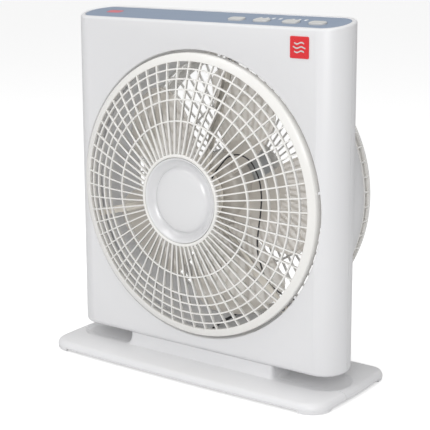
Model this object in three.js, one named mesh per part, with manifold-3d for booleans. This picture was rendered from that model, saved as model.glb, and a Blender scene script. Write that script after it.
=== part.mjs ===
// A box fan with a slowly turning louvre: flat rounded body, round louvre in front, rear guard, plate base.
// Millimetres, +Z up, -Y to the front, +X to the viewer's right. The origin is on the floor under the middle.
import * as THREE from 'three';
import { mergeVertices } from 'three/addons/utils/BufferGeometryUtils.js';
import Module from 'manifold-3d';

const wasm = await Module();
wasm.setup();

// ---------- driving dimensions ----------
const GAP = 0.3; // air left between pieces that touch in the real fan

// body
const FRONT_Y = -36;
const REAR_Y = 26;
const SEAM_Y = -5; // plane where the two shells meet
const BODY_HALF_W = 190.3;
const END_X = 27; // the ends are half ellipses in plan: this far along X
const END_Y = 31; // and this far along Y
const BODY_BOTTOM = 27.5;
const BODY_TOP = 418.1; // height of the top at its front edge
const TOP_SLOPE = 0.158; // the top rises towards the back
const WALL = 2.6;
const TOP_SINK = 5.4; // from the top down to the roof of the hollow
const PANEL_INSET = 5.8;
const PANEL_T = 2.1;

// how finely round shapes are cut into flats
const BIG_ROUND = 48;
const MID_ROUND = 24;
const SMALL_ROUND = 14;
const HOLE_ROUND = 8;

// round opening and duct
const AXIS_Z = 215;
const OPENING_R = 172;
const DUCT_R = 174.5;
const DUCT_FRONT_END = -9;
const COLLAR_R = 176.5;
const COLLAR_END_R = 170.5;
const COLLAR_END_Y = 62;

// louvre: each ring is [radius, height in front of the body's face]
const RIB_COUNT = 60;
const RIB_PHASE = 0.9; // degrees
const RIB_HALF_W = 0.9;
const RING_HALF_W = 1.0;
const LATTICE_DEPTH = 4.5;
const LOUVRE_RINGS = [[91.9, 25.3], [116.2, 19.9], [127.4, 16.8], [139.1, 13.8], [150.6, 10.1]];
const HUB_RING_R = 54.2;
const HUB_RING_LIFT = 31.8;
const CELL_END_R = 159.1;
const CELL_END_LIFT = 7;
const RIM_R = 168.6;
const SKIRT_Y = -29.6;
const HUB_CAP_R = 50.1;

// rear guard
const GUARD_BARS = 60;
const GUARD_HALF_W = 1.2;
const GUARD_BACK_Y = 83;

// impeller
const BLADE_COUNT = 5;
const BLADE_PHASE = 63; // degrees
const BLADE_TIP_R = 153;
const HUB_R = 45;

// base
const BASE_HALF_W = 202;
const BASE_FRONT_Y = -83;
const BASE_BACK_Y = 77;
const BASE_SEAM_Y = -23;
const BASE_RIM_Z = 3.6;
const BASE_CORNER_F = 24;
const BASE_CORNER_R = 16;
const BASE_FRONT_BOW = 3.6;
const BASE_END_BOW = 4;
const PLINTH_HALF_W = 106;

// push buttons: X of each, all on one line
const BUTTON_X = [41.5, 76, 115, 149.5];
const BUTTON_NAMES = ['power', 'speed', 'timer', 'louvre'];
const BUTTON_Y = -11;
const BUTTON_W = 20;
const BUTTON_D = 13;
const BUTTON_R = 5;
const PIP_X = [65.4, 74.3, 83.6, 92.9, 108.8, 117.6, 126.7];
const PIP_Y = 2;

// ---------- mesh helpers ----------
// a closed solid from vertices and triangles, turned outward-facing
function solidFrom(vertices, triangles) {
  const solid = new wasm.Manifold(new wasm.Mesh({
    numProp: 3,
    vertProperties: new Float32Array(vertices.flat()),
    triVerts: new Uint32Array(triangles.flat()),
  }));
  if (solid.volume() >= 0) return solid;
  return new wasm.Manifold(new wasm.Mesh({
    numProp: 3,
    vertProperties: new Float32Array(vertices.flat()),
    triVerts: new Uint32Array(triangles.map(([a, b, c]) => [a, c, b]).flat()),
  }));
}

// a three.js geometry as a solid
function solidOf(geometry) {
  const g = geometry.clone();
  g.deleteAttribute('normal');
  g.deleteAttribute('uv');
  const merged = mergeVertices(g, 1e-4);
  return new wasm.Manifold(new wasm.Mesh({
    numProp: 3,
    vertProperties: merged.attributes.position.array,
    triVerts: new Uint32Array(merged.index.array),
  }));
}

// a solid back to a three.js geometry
function geometryOf(solid) {
  const mesh = solid.getMesh();
  const count = mesh.vertProperties.length / mesh.numProp;
  const positions = new Float32Array(count * 3);
  for (let i = 0; i < count; i += 1) {
    positions.set(mesh.vertProperties.subarray(i * mesh.numProp, i * mesh.numProp + 3), i * 3);
  }
  const indexed = new THREE.BufferGeometry();
  indexed.setAttribute('position', new THREE.BufferAttribute(positions, 3));
  indexed.setIndex(new THREE.BufferAttribute(mesh.triVerts, 1));
  const flat = indexed.toNonIndexed();
  flat.computeVertexNormals();
  return flat;
}

// skin stacked loops of equal length and close both ends with flat fans
function loft(loops) {
  const n = loops[0].length;
  const vertices = loops.flat();
  const triangles = [];
  for (let k = 0; k < loops.length - 1; k += 1) {
    for (let i = 0; i < n; i += 1) {
      const j = (i + 1) % n;
      const a = k * n + i;
      const b = k * n + j;
      triangles.push([a, b, b + n], [a, b + n, a + n]);
    }
  }
  const last = (loops.length - 1) * n;
  for (let i = 1; i < n - 1; i += 1) {
    triangles.push([0, i + 1, i], [last, last + i, last + i + 1]);
  }
  return solidFrom(vertices, triangles);
}

// turn a closed [radius, y] profile about an axis that runs along Y
function spinY(profile, segments, x = 0, z = AXIS_Z) {
  const vertices = [];
  const rows = profile.map(([r, y]) => {
    if (r === 0) {
      vertices.push([x, y, z]);
      return Array(segments).fill(vertices.length - 1);
    }
    const row = [];
    for (let i = 0; i < segments; i += 1) {
      const t = 2 * Math.PI * i / segments;
      vertices.push([x + r * Math.cos(t), y, z + r * Math.sin(t)]);
      row.push(vertices.length - 1);
    }
    return row;
  });
  const triangles = [];
  for (let k = 0; k < rows.length; k += 1) {
    const from = rows[k];
    const to = rows[(k + 1) % rows.length];
    if (profile[k][0] === 0 && profile[(k + 1) % rows.length][0] === 0) continue;
    for (let i = 0; i < segments; i += 1) {
      const j = (i + 1) % segments;
      if (from[i] !== from[j]) triangles.push([from[i], from[j], to[j]]);
      if (to[i] !== to[j]) triangles.push([from[i], to[j], to[i]]);
    }
  }
  return solidFrom(vertices, triangles);
}

// the same about a vertical axis, from [radius, z] points
function spinZ(profile, segments, x, y) {
  return spinY(profile.map(([r, z]) => [r, -z]), segments, 0, 0).rotate([-90, 0, 0]).translate([x, y, 0]);
}

// plain cylinder along Y
function rodY(r, y0, y1, segments, x = 0, z = AXIS_Z) {
  return spinY([[0, y0], [r, y0], [r, y1], [0, y1]], segments, x, z);
}

// tube along Y
function tubeY(rIn, rOut, y0, y1, segments, x = 0, z = AXIS_Z) {
  return spinY([[rIn, y0], [rOut, y0], [rOut, y1], [rIn, y1]], segments, x, z);
}

// plain cylinder along Z
function rodZ(r, z0, z1, segments, x, y) {
  return spinZ([[0, z0], [r, z0], [r, z1], [0, z1]], segments, x, y);
}

// box from corner to corner
function block(x0, x1, y0, y1, z0, z1) {
  const g = new THREE.BoxGeometry(x1 - x0, y1 - y0, z1 - z0);
  g.translate((x0 + x1) / 2, (y0 + y1) / 2, (z0 + z1) / 2);
  return solidOf(g);
}

// turn a solid about the fan's axis
function aboutAxis(solid, degrees) {
  return solid.translate([0, 0, -AXIS_Z]).rotate([0, -degrees, 0]).translate([0, 0, AXIS_Z]);
}

// points of a rounded rectangle with elliptical corners, anticlockwise from +X
function roundedLoop(x0, x1, y0, y1, corners, steps) {
  const [[rx1, ry1], [rx2, ry2], [rx3, ry3], [rx4, ry4]] = corners;
  const centres = [
    [x1 - rx1, y1 - ry1, rx1, ry1],
    [x0 + rx2, y1 - ry2, rx2, ry2],
    [x0 + rx3, y0 + ry3, rx3, ry3],
    [x1 - rx4, y0 + ry4, rx4, ry4],
  ];
  return centres.flatMap(([cx, cy, rx, ry], q) => {
    const arc = [];
    for (let i = 0; i <= steps; i += 1) {
      const t = Math.PI / 2 * (q + i / steps);
      arc.push([cx + rx * Math.cos(t), cy + ry * Math.sin(t)]);
    }
    return arc;
  });
}

// ---------- body shape ----------
// plan of the body, drawn in by an inset
function bodyLoop(inset, steps = 6) {
  const corner = [END_X - inset, (REAR_Y - FRONT_Y) / 2 - inset - 0.01];
  return roundedLoop(
    -BODY_HALF_W + inset, BODY_HALF_W - inset, FRONT_Y + inset, REAR_Y - inset,
    [corner, corner, corner, corner], steps,
  );
}

// height of the sloping top over a point
const topZ = (y) => BODY_TOP + TOP_SLOPE * (y - FRONT_Y);
const levelLoop = (inset, z) => bodyLoop(inset).map(([x, y]) => [x, y, z]);
const topLoop = (inset, drop) => bodyLoop(inset).map(([x, y]) => [x, y, topZ(y) - drop]);

const bodyOuter = loft([
  levelLoop(5, BODY_BOTTOM),
  levelLoop(1.5, BODY_BOTTOM + 1.5),
  levelLoop(0, BODY_BOTTOM + 5),
  topLoop(0, 2.4),
  topLoop(0.7, 0.7),
  topLoop(2.4, 0),
]);
const bodyHollow = loft([levelLoop(WALL, BODY_BOTTOM + WALL), topLoop(WALL, TOP_SINK)]);

// pieces in the top are drawn flat, then tilted onto the slope: v runs up the slope, w stands out of it
const TILT = Math.atan(TOP_SLOPE);
function ontoTop(solid) {
  return solid.rotate([THREE.MathUtils.radToDeg(TILT), 0, 0]).translate([0, FRONT_Y, BODY_TOP]);
}
const slopeV = (y) => (y - FRONT_Y) / Math.cos(TILT);
function panelBlank(inset, w0, w1) {
  const flat = (w) => bodyLoop(inset).map(([x, y]) => [x, slopeV(y), w]);
  return loft([flat(w0), flat(w1)]);
}
function pill(x, y, width, depth, radius, w0, w1, steps = 2) {
  const v = slopeV(y);
  const corner = [radius, radius];
  const loop = roundedLoop(
    x - width / 2, x + width / 2, v - depth / 2, v + depth / 2,
    [corner, corner, corner, corner], steps,
  );
  return loft([loop.map(([a, b]) => [a, b, w0]), loop.map(([a, b]) => [a, b, w1])]);
}
// a small window bar of the light guide
function pip(x, grow, w0, w1) {
  const v = slopeV(PIP_Y);
  return block(x - 1.5 - grow, x + 1.5 + grow, v - 2.9 - grow, v + 2.9 + grow, w0, w1);
}

// ---------- housings ----------
const PANEL_SINK = 0.3;
const POCKET_W = -PANEL_SINK - PANEL_T - GAP;
let shell = bodyOuter.subtract(bodyHollow);
shell = shell.subtract(ontoTop(panelBlank(PANEL_INSET - GAP, POCKET_W, 6)));
for (const x of BUTTON_X) {
  shell = shell.subtract(ontoTop(pill(x, BUTTON_Y, BUTTON_W + 0.8, BUTTON_D + 0.8, BUTTON_R, -9, 6)));
}
for (const x of PIP_X) {
  shell = shell.subtract(ontoTop(pip(x, 0.35, -9, 6)));
}

// screw posts in the four corners, and bosses over the base screws
const POST_AT = [[-163, 47], [163, 47], [-163, 392], [163, 392]];
const BASE_SCREW_FRONT_Y = -26.5;
const BASE_SCREW_REAR_Y = 12;
const BASE_SCREW_X = 80;

const bigFront = block(-300, 300, -100, SEAM_Y - GAP / 2, 0, 500);
const bigRear = block(-300, 300, SEAM_Y + GAP / 2, 100, 0, 500);

let frontHousing = shell.intersect(bigFront);
frontHousing = frontHousing.add(tubeY(OPENING_R - 1, DUCT_R, FRONT_Y, DUCT_FRONT_END, BIG_ROUND));
for (const [x, z] of POST_AT) {
  frontHousing = frontHousing.add(tubeY(1.8, 4, FRONT_Y + 1, SEAM_Y - 1, HOLE_ROUND, x, z));
}
for (const x of [-BASE_SCREW_X, BASE_SCREW_X]) {
  frontHousing = frontHousing.add(rodZ(4, BODY_BOTTOM + 1, 42, HOLE_ROUND, x, BASE_SCREW_FRONT_Y));
}
for (const x of [24, 172]) {
  frontHousing = frontHousing.add(ontoTop(pill(x, -20, 6, 6, 2.9, -12, -4, 2)));
}
frontHousing = frontHousing.subtract(rodY(OPENING_R, -60, 0, BIG_ROUND));
// lugs on the duct that carry the inner cross
const CROSS_ANGLES = [75, 195, 315];
for (const angle of CROSS_ANGLES) {
  const lug = block(163, OPENING_R + 1, -21.6, -14, AXIS_Z - 4.5, AXIS_Z + 4.5);
  frontHousing = frontHousing.add(aboutAxis(lug, angle));
}
for (const angle of CROSS_ANGLES) {
  frontHousing = frontHousing.subtract(aboutAxis(rodY(1.5, -22.5, -13, HOLE_ROUND, 167), angle));
}
for (const x of [-BASE_SCREW_X, BASE_SCREW_X]) {
  frontHousing = frontHousing.subtract(rodZ(1.7, BODY_BOTTOM - 1, 40, HOLE_ROUND, x, BASE_SCREW_FRONT_Y));
}

// rear shell: duct, tapered collar and a finger recess near the top
let rearHousing = shell.intersect(bigRear);
const GRIP_HALF_W = 55;
const GRIP_Z0 = 394.5;
const GRIP_Z1 = 410.5;
const GRIP_Y = 12;
for (const [x, z] of POST_AT) {
  rearHousing = rearHousing.add(rodY(5.6, SEAM_Y + 0.7, REAR_Y - 1, 10, x, z));
}
for (const x of [-BASE_SCREW_X, BASE_SCREW_X]) {
  rearHousing = rearHousing.add(rodZ(4, BODY_BOTTOM + 1, 42, HOLE_ROUND, x, BASE_SCREW_REAR_Y));
}
rearHousing = rearHousing.add(block(
  -GRIP_HALF_W - WALL, GRIP_HALF_W + WALL, GRIP_Y - WALL, REAR_Y - 1, GRIP_Z0 - WALL, GRIP_Z1 + WALL,
));
rearHousing = rearHousing.subtract(block(-GRIP_HALF_W, GRIP_HALF_W, GRIP_Y, 40, GRIP_Z0, GRIP_Z1));
rearHousing = rearHousing.add(spinY([
  [OPENING_R - 0.6, SEAM_Y + 0.15], [DUCT_R, SEAM_Y + 0.15], [DUCT_R, 16], [COLLAR_R, 19],
  [COLLAR_R, REAR_Y], [COLLAR_END_R, COLLAR_END_Y], [COLLAR_END_R - 3.2, COLLAR_END_Y], [OPENING_R - 0.6, 24],
], BIG_ROUND));
rearHousing = rearHousing.subtract(spinY([
  [0, -20], [OPENING_R, -20], [OPENING_R, 24], [COLLAR_END_R - 3, COLLAR_END_Y + 1], [0, COLLAR_END_Y + 1],
], BIG_ROUND));
const GUARD_LUG_ANGLES = [90, 210, 330];
for (const angle of GUARD_LUG_ANGLES) {
  const lug = block(158.5, 169.5, 52, COLLAR_END_Y, AXIS_Z - 5, AXIS_Z + 5);
  rearHousing = rearHousing.add(aboutAxis(lug, angle)).subtract(aboutAxis(rodY(1.7, 51, 63, HOLE_ROUND, 163), angle));
}
for (const [x, z] of POST_AT) {
  rearHousing = rearHousing.subtract(rodY(1.8, -10, 30, HOLE_ROUND, x, z)).subtract(rodY(3.8, 16, 30, 10, x, z));
}
for (const x of [-BASE_SCREW_X, BASE_SCREW_X]) {
  rearHousing = rearHousing.subtract(rodZ(1.7, BODY_BOTTOM - 1, 40, HOLE_ROUND, x, BASE_SCREW_REAR_Y));
}
// hole for the cord gland, and the notch that lets the motor lead out of the duct
const GLAND_X = 140;
const GLAND_Z = 48;
rearHousing = rearHousing.subtract(rodY(6.5, 15, 30, 12, GLAND_X, GLAND_Z));
rearHousing = rearHousing.subtract(block(-7, 5, -8, 5, AXIS_Z - DUCT_R - 1, AXIS_Z - OPENING_R + 2));

// ---------- parts in the top ----------
let panel = panelBlank(PANEL_INSET, -PANEL_SINK - PANEL_T, -PANEL_SINK);
for (const x of BUTTON_X) {
  panel = panel.subtract(pill(x, BUTTON_Y, BUTTON_W + 0.8, BUTTON_D + 0.8, BUTTON_R, -5, 3));
}
for (const x of PIP_X) {
  panel = panel.subtract(pip(x, 0.35, -5, 3));
}
const MARK_X = -147;
const MARK_Y = -3;
panel = panel.subtract(pill(MARK_X, MARK_Y, 22.6, 12.6, 4.4, -1.2, 3));
const controlPanel = ontoTop(panel);
const panelMark = ontoTop(pill(MARK_X, MARK_Y, 22, 12, 4.1, -0.9, -0.2));

const buttonSolids = BUTTON_X.map((x) => {
  const cap = pill(x, BUTTON_Y, BUTTON_W, BUTTON_D, BUTTON_R - 0.3, -6.2, 1)
    .add(pill(x, BUTTON_Y, BUTTON_W - 1.4, BUTTON_D - 1.4, BUTTON_R - 1, 0.5, 1.6, 2));
  const flange = pill(x, BUTTON_Y, BUTTON_W + 3, BUTTON_D + 3, BUTTON_R, -7, -5.8, 1);
  const stem = pill(x, BUTTON_Y, 5, 5, 2.4, -8.4, -6.5, 1);
  return ontoTop(cap.add(flange).add(stem));
});
const SWITCH_W = -9.6;
const BOARD_TOP_W = -12.4;
const switchSolids = BUTTON_X.map((x) => ontoTop(
  pill(x, BUTTON_Y, 7, 7, 0.8, BOARD_TOP_W + GAP, SWITCH_W - 0.9, 1)
    .add(pill(x, BUTTON_Y, 3.4, 3.4, 1.6, SWITCH_W - 1.5, SWITCH_W, 1)),
));
const controlBoard = ontoTop(block(18, 176, slopeV(-25), slopeV(6), BOARD_TOP_W - 1.6, BOARD_TOP_W));
let guide = block(61, 131, slopeV(PIP_Y) - 2.6, slopeV(PIP_Y) + 2.6, -8.6, -6.2);
for (const x of PIP_X) {
  guide = guide.add(pip(x, 0, -7, -0.2));
}
const lightGuide = ontoTop(guide);

// ---------- badge on the front face ----------
const BADGE_X = 142.5;
const BADGE_Z = 397.5;
const BADGE_SIZE = 24;
const badgeCorner = [1.4, 1.4];
const badgeLoop = roundedLoop(
  BADGE_X - BADGE_SIZE / 2, BADGE_X + BADGE_SIZE / 2, BADGE_Z - BADGE_SIZE / 2, BADGE_Z + BADGE_SIZE / 2,
  [badgeCorner, badgeCorner, badgeCorner, badgeCorner], 2,
);
const badge = loft([
  badgeLoop.map(([x, z]) => [x, FRONT_Y - 0.2, z]),
  badgeLoop.map(([x, z]) => [x, FRONT_Y - 1, z]),
]);

// ---------- round lattices ----------
// Stations run along a lattice's section: each is [outer [r, y], inner [r, y]]. Every band between two
// stations is solid all round or open between the bars. Bars taper to an edge on the inner side, and a
// ring whose two stations share one inner point tapers too, as moulded bars do.
function roundLattice(stations, openBands, bars, phase, halfWidth) {
  const columns = bars * 2;
  const vertices = [];
  const seen = new Map();
  const ids = stations.map((station) => station.map(([r, y], side) => {
    const row = [];
    for (let c = 0; c < columns; c += 1) {
      const lean = side ? 0 : THREE.MathUtils.radToDeg(halfWidth / r) * (c % 2 ? 1 : -1);
      const t = THREE.MathUtils.degToRad(360 * Math.floor(c / 2) / bars + phase + lean);
      const point = [r * Math.cos(t), y, AXIS_Z + r * Math.sin(t)];
      const key = point.map((value) => value.toFixed(4)).join(' ');
      if (!seen.has(key)) {
        seen.set(key, vertices.length);
        vertices.push(point);
      }
      row.push(seen.get(key));
    }
    return row;
  }));
  const at = (s, side, c) => ids[s][side][c % columns];
  const filled = (band, c) => band >= 0 && band < stations.length - 1
    && (!openBands.includes(band) || (c + columns) % 2 === 0);
  const triangles = [];
  const triangle = (a, b, c) => {
    if (a !== b && b !== c && c !== a) triangles.push([a, b, c]);
  };
  const quad = (a, b, c, d) => {
    triangle(a, b, c);
    triangle(a, c, d);
  };
  for (let band = 0; band < stations.length - 1; band += 1) {
    for (let c = 0; c < columns; c += 1) {
      if (!filled(band, c)) continue;
      const n = c + 1;
      const next = band + 1;
      quad(at(band, 0, c), at(next, 0, c), at(next, 0, n), at(band, 0, n));
      quad(at(band, 1, c), at(band, 1, n), at(next, 1, n), at(next, 1, c));
      if (!filled(band, c - 1)) quad(at(band, 0, c), at(band, 1, c), at(next, 1, c), at(next, 0, c));
      if (!filled(band, n)) quad(at(band, 0, n), at(next, 0, n), at(next, 1, n), at(band, 1, n));
      if (!filled(band - 1, c)) quad(at(band, 0, c), at(band, 0, n), at(band, 1, n), at(band, 1, c));
      if (!filled(next, c)) quad(at(next, 0, c), at(next, 1, c), at(next, 1, n), at(next, 0, n));
    }
  }
  return solidFrom(vertices, triangles);
}

// louvre: hub ring, five rings, then the wide rim and its skirt
const liftY = (lift) => FRONT_Y - lift;
const face = (r, lift) => [[r, liftY(lift)], [r, liftY(lift) + LATTICE_DEPTH]];
const louvreStations = [face(HUB_RING_R - 3.6, HUB_RING_LIFT), face(HUB_RING_R, HUB_RING_LIFT)];
for (const [r, lift] of LOUVRE_RINGS) {
  const keel = [r, liftY(lift) + LATTICE_DEPTH];
  louvreStations.push(
    [[r - RING_HALF_W, liftY(lift + 0.3)], keel],
    [[r + RING_HALF_W, liftY(lift - 0.3)], keel],
  );
}
louvreStations.push(
  face(CELL_END_R, CELL_END_LIFT),
  [[RIM_R - 0.6, liftY(3.4)], [RIM_R - 2.8, liftY(0)]],
  [[RIM_R, SKIRT_Y], [RIM_R - 2.4, SKIRT_Y]],
);
const louvreGrille = roundLattice(louvreStations, [1, 3, 5, 7, 9, 11], RIB_COUNT, RIB_PHASE, RIB_HALF_W);

// dished cap in the middle of the louvre, with a raised boss in the dish
const hubCap = spinY([
  [0, -67.2], [24, -66.4], [35, -63.8], [38.4, -60], [42, -59.2], [46.4, -62.4], [HUB_CAP_R - 1, -67],
  [HUB_CAP_R, -64.4], [42, -57], [8, -57], [8, -49], [3.3, -49], [3.3, -60], [0, -60],
], 36);

// inner cross that carries the louvre's small motor
let cross = rodY(34, -29.6, -26.4, MID_ROUND);
for (const angle of CROSS_ANGLES) {
  const arm = loft([AXIS_Z - 4.5, AXIS_Z + 4.5].map((z) => [
    [25, -29.4, z], [60, -29.4, z], [140, -26.4, z], [171.6, -26.4, z],
    [171.6, -22, z], [140, -22, z], [60, -26.6, z], [25, -26.6, z],
  ]));
  cross = cross.add(aboutAxis(arm, angle));
}
for (const angle of CROSS_ANGLES) {
  cross = cross.subtract(aboutAxis(rodY(1.7, -30, -20, HOLE_ROUND, 167), angle));
}
const louvreMotor = spinY([
  [0, -29.9], [25, -29.9], [26, -31], [26, -43], [25, -44], [7, -44], [7, -46], [3.3, -46], [3.3, -34], [0, -34],
], SMALL_ROUND);
const louvreShaft = rodY(2.8, -59.7, -34.4, 12);

// screw along Y: head at y0, point at y1
function screwY(x, z, y0, y1, headR, headT, shankR) {
  const way = Math.sign(y1 - y0);
  return spinY([[0, y0], [headR, y0], [headR, y0 + way * headT], [shankR, y0 + way * headT], [shankR, y1], [0, y1]],
    HOLE_ROUND, x, z);
}

// ---------- impeller and motor ----------
// a blade as a thin twisted sheet: rows run out along the radius, columns along the chord
function bladeSolid() {
  const rows = 5;
  const columns = 4;
  const half = 1.1;
  const vertices = [];
  for (let side = 0; side < 2; side += 1) {
    for (let i = 0; i < rows; i += 1) {
      const u = i / (rows - 1);
      const r = HUB_R - 1.2 + (BLADE_TIP_R - HUB_R + 1.2) * u;
      const spread = 26 + 5 * Math.sin(Math.PI * u) - 4 * u;
      const lead = 10 * u;
      const reach = 16 - 3.5 * u;
      for (let k = 0; k < columns; k += 1) {
        const s = 2 * k / (columns - 1) - 1;
        const round = u > 0.99 ? 1 - 0.06 * s * s : 1;
        const t = THREE.MathUtils.degToRad(lead + spread * s * round);
        const y = 5.5 + reach * s + 2.4 * (1 - s * s) + (side ? half : -half);
        vertices.push([r * round * Math.cos(t), y, AXIS_Z + r * round * Math.sin(t)]);
      }
    }
  }
  const id = (side, i, k) => (side * rows + i) * columns + k;
  const triangles = [];
  const quad = (a, b, c, d) => triangles.push([a, b, c], [a, c, d]);
  for (let i = 0; i < rows - 1; i += 1) {
    for (let k = 0; k < columns - 1; k += 1) {
      quad(id(0, i, k), id(0, i + 1, k), id(0, i + 1, k + 1), id(0, i, k + 1));
      quad(id(1, i, k), id(1, i, k + 1), id(1, i + 1, k + 1), id(1, i + 1, k));
    }
    quad(id(0, i, 0), id(1, i, 0), id(1, i + 1, 0), id(0, i + 1, 0));
    quad(id(0, i, columns - 1), id(0, i + 1, columns - 1), id(1, i + 1, columns - 1), id(1, i, columns - 1));
  }
  for (let k = 0; k < columns - 1; k += 1) {
    quad(id(0, 0, k), id(0, 0, k + 1), id(1, 0, k + 1), id(1, 0, k));
    quad(id(0, rows - 1, k), id(1, rows - 1, k), id(1, rows - 1, k + 1), id(0, rows - 1, k + 1));
  }
  return solidFrom(vertices, triangles);
}
let impeller = spinY([
  [4.3, -14], [38, -14], [HUB_R, -9], [HUB_R, 24], [HUB_R - 2.4, 24], [HUB_R - 2.4, -8.4], [37, -11.4],
  [9, -11.4], [9, 22], [4.3, 22],
], MID_ROUND);
const blade = bladeSolid();
for (let i = 0; i < BLADE_COUNT; i += 1) {
  impeller = impeller.add(aboutAxis(blade, BLADE_PHASE + 360 * i / BLADE_COUNT));
}
const impellerNut = spinY([
  [0, -24], [8, -24], [12, -22.5], [13, -14.4], [4.3, -14.4], [4.3, -20.4], [0, -20.4],
], 12);
const motorShaft = rodY(3.9, -20, 70.4, 12);
const MOTOR_R = 47;
const motorFrontCover = spinY([
  [11.4, 26.6], [MOTOR_R - 3, 26.6], [MOTOR_R, 29.6], [MOTOR_R, 48.8], [44.4, 48.8], [44.4, 30.4], [42.6, 29.2],
  [14, 29.2], [14, 37.4], [11.4, 37.4],
], SMALL_ROUND);
const motorRearCover = spinY([
  [11.4, 70], [MOTOR_R - 3, 70], [MOTOR_R, 67], [MOTOR_R, 49.2], [44.4, 49.2], [44.4, 66.2], [42.6, 67.4],
  [14, 67.4], [14, 59.6], [11.4, 59.6],
], SMALL_ROUND).subtract(rodY(1.8, 60, 75, HOLE_ROUND, 38)).subtract(rodY(1.8, 60, 75, HOLE_ROUND, -38));
const bearing = (y0, y1) => tubeY(4.3, 10.9, y0, y1, SMALL_ROUND);
const rotor = tubeY(4.3, 20, 42, 56.5, SMALL_ROUND);
const stator = tubeY(20.9, 43.6, 44, 54, SMALL_ROUND);
const winding = (y0, y1) => spinY([[22.5, y0 + 1], [25, y0], [34, y0], [36.5, y0 + 1], [36.5, y1], [22.5, y1]], SMALL_ROUND);

// ---------- rear guard ----------
const backStation = (r, y) => [[r, y], [r, y - 3.6]];
const guardStations = [
  backStation(16, 77), backStation(52, 77),
  [[104, 80], [105.5, 76.6]], [[107, 80.2], [105.5, 76.6]],
  backStation(158, GUARD_BACK_Y),
  [[169.3, 79.6], [165.8, 77.6]],
  [[169.6, 75.4], [166.4, 75.4]],
  [[170, 65.4], [166.8, 65.4]],
  [[170.3, COLLAR_END_Y + GAP], [167.1, COLLAR_END_Y + GAP]],
];
let rearGuard = roundLattice(guardStations, [1, 3, 6], GUARD_BARS, 2.5, GUARD_HALF_W);
for (const angle of GUARD_LUG_ANGLES) {
  const tab = block(158.5, 168.6, COLLAR_END_Y + GAP, 65, AXIS_Z - 5, AXIS_Z + 5);
  rearGuard = rearGuard.add(aboutAxis(tab, angle)).subtract(aboutAxis(rodY(1.8, 60, 66, HOLE_ROUND, 163), angle));
}
for (const x of [-38, 38]) {
  rearGuard = rearGuard.subtract(rodY(1.8, 70, 80, HOLE_ROUND, x));
}
const rearCap = spinY([
  [0, GUARD_BACK_Y], [34, 82.6], [47, 81], [52, 77.3], [50, 77.3], [46, 79.4], [34, 80.8], [0, 81.2],
], MID_ROUND);

// ---------- wiring, capacitor and gland ----------
// round lead through a list of points
function lead(points, radius, steps) {
  const path = new THREE.CatmullRomCurve3(points.map(([x, y, z]) => new THREE.Vector3(x, y, z)));
  const section = new THREE.Shape();
  const sides = 4;
  for (let i = 0; i < sides; i += 1) {
    const t = 2 * Math.PI * i / sides;
    if (i === 0) section.moveTo(radius, 0);
    else section.lineTo(radius * Math.cos(t), radius * Math.sin(t));
  }
  return solidOf(new THREE.ExtrudeGeometry(section, { steps, extrudePath: path, curveSegments: 1 }));
}
const louvreLead = lead([
  [24, -40, 235], [36, -38, 254], [52, -34, 269], [68, -29, 267], [80, -26, 251], [86.5, -26, 230],
  [86, -26, 205], [82, -25, 180], [80, -23, 158], [84, -21, 140], [92, -20, 123], [107, -19, 113],
  [118.5, -15, 106.5], [121.5, -9, 104], [126, -6.9, 94], [132, -4, 80], [136, 2, 66],
], 0.9, 36);
const motorLead = lead([
  [0, 61, 167.2], [0, 66, 158], [0, 70, 140], [0, 72.5, 110], [0, 74, 80], [0, 71, 57.5], [0, 60, 51.8],
  [0, 40, 48.6], [0, 14, 46.5], [0, 2, 44], [-5, -1, 38.5], [-16, 1, 35], [-60, 4, 34], [-110, 2, 37], [-136, -2, 45],
], 1.7, 36);
const supplyLead = lead([
  [140, 18, 48], [142, 8, 49], [153, 2, 58], [170, -1, 90], [180, -4, 150], [181.3, -5, 215], [180, -5, 290],
  [179, -4, 340], [178.5, -3, 375], [176, -3, 392], [170, -4, 405],
], 2.2, 28);
const capacitor = spinY([[0, -10], [11, -10], [12, -9], [12, 23], [0, 23]], 14, -150, 62);
const cordGland = spinY([
  [3.4, 18.6], [8.6, 18.6], [8.6, 23], [6, 23], [6, REAR_Y + GAP], [8.6, REAR_Y + GAP], [7.4, 31], [3.4, 31],
], 12, GLAND_X, GLAND_Z);

// ---------- base ----------
// plan of the base drawn in by an inset: elliptical corners, front and ends gently bowed
function baseLoop(inset, z) {
  const rf = Math.max(BASE_CORNER_F - inset, 3);
  const rr = Math.max(BASE_CORNER_R - inset, 3);
  const half = BASE_HALF_W - inset;
  const y0 = BASE_FRONT_Y + inset;
  const y1 = BASE_BACK_Y - inset;
  const corners = roundedLoop(-half, half, y0, y1, [[rr, rr], [rr, rr], [rf, rf], [rf, rf]], 5);
  const loop = [];
  corners.forEach(([x, y], i) => {
    const [nx, ny] = corners[(i + 1) % corners.length];
    const pieces = Math.abs(nx - x) > 100 ? 6 : Math.abs(ny - y) > 60 ? 4 : 1;
    for (let k = 0; k < pieces; k += 1) loop.push([x + (nx - x) * k / pieces, y + (ny - y) * k / pieces]);
  });
  const middle = (y0 + y1) / 2;
  const depth = (y1 - y0) / 2;
  return loop.map(([x, y]) => {
    const across = x / half;
    const along = (y - middle) / depth;
    const bow = along < 0 ? BASE_FRONT_BOW * across * across * -along : 0;
    return [x - Math.sign(x) * Math.abs(across) * BASE_END_BOW * along * along, y + bow, z];
  });
}
const RECESS_Z = 10.5;
let baseWhole = loft([
  baseLoop(1, BASE_RIM_Z), baseLoop(0, BASE_RIM_Z + 1.4), baseLoop(0.6, 8.4), baseLoop(2.4, 10.9),
  baseLoop(5, 12.3), baseLoop(20, 13.2), baseLoop(38, 13.8),
]);
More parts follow.
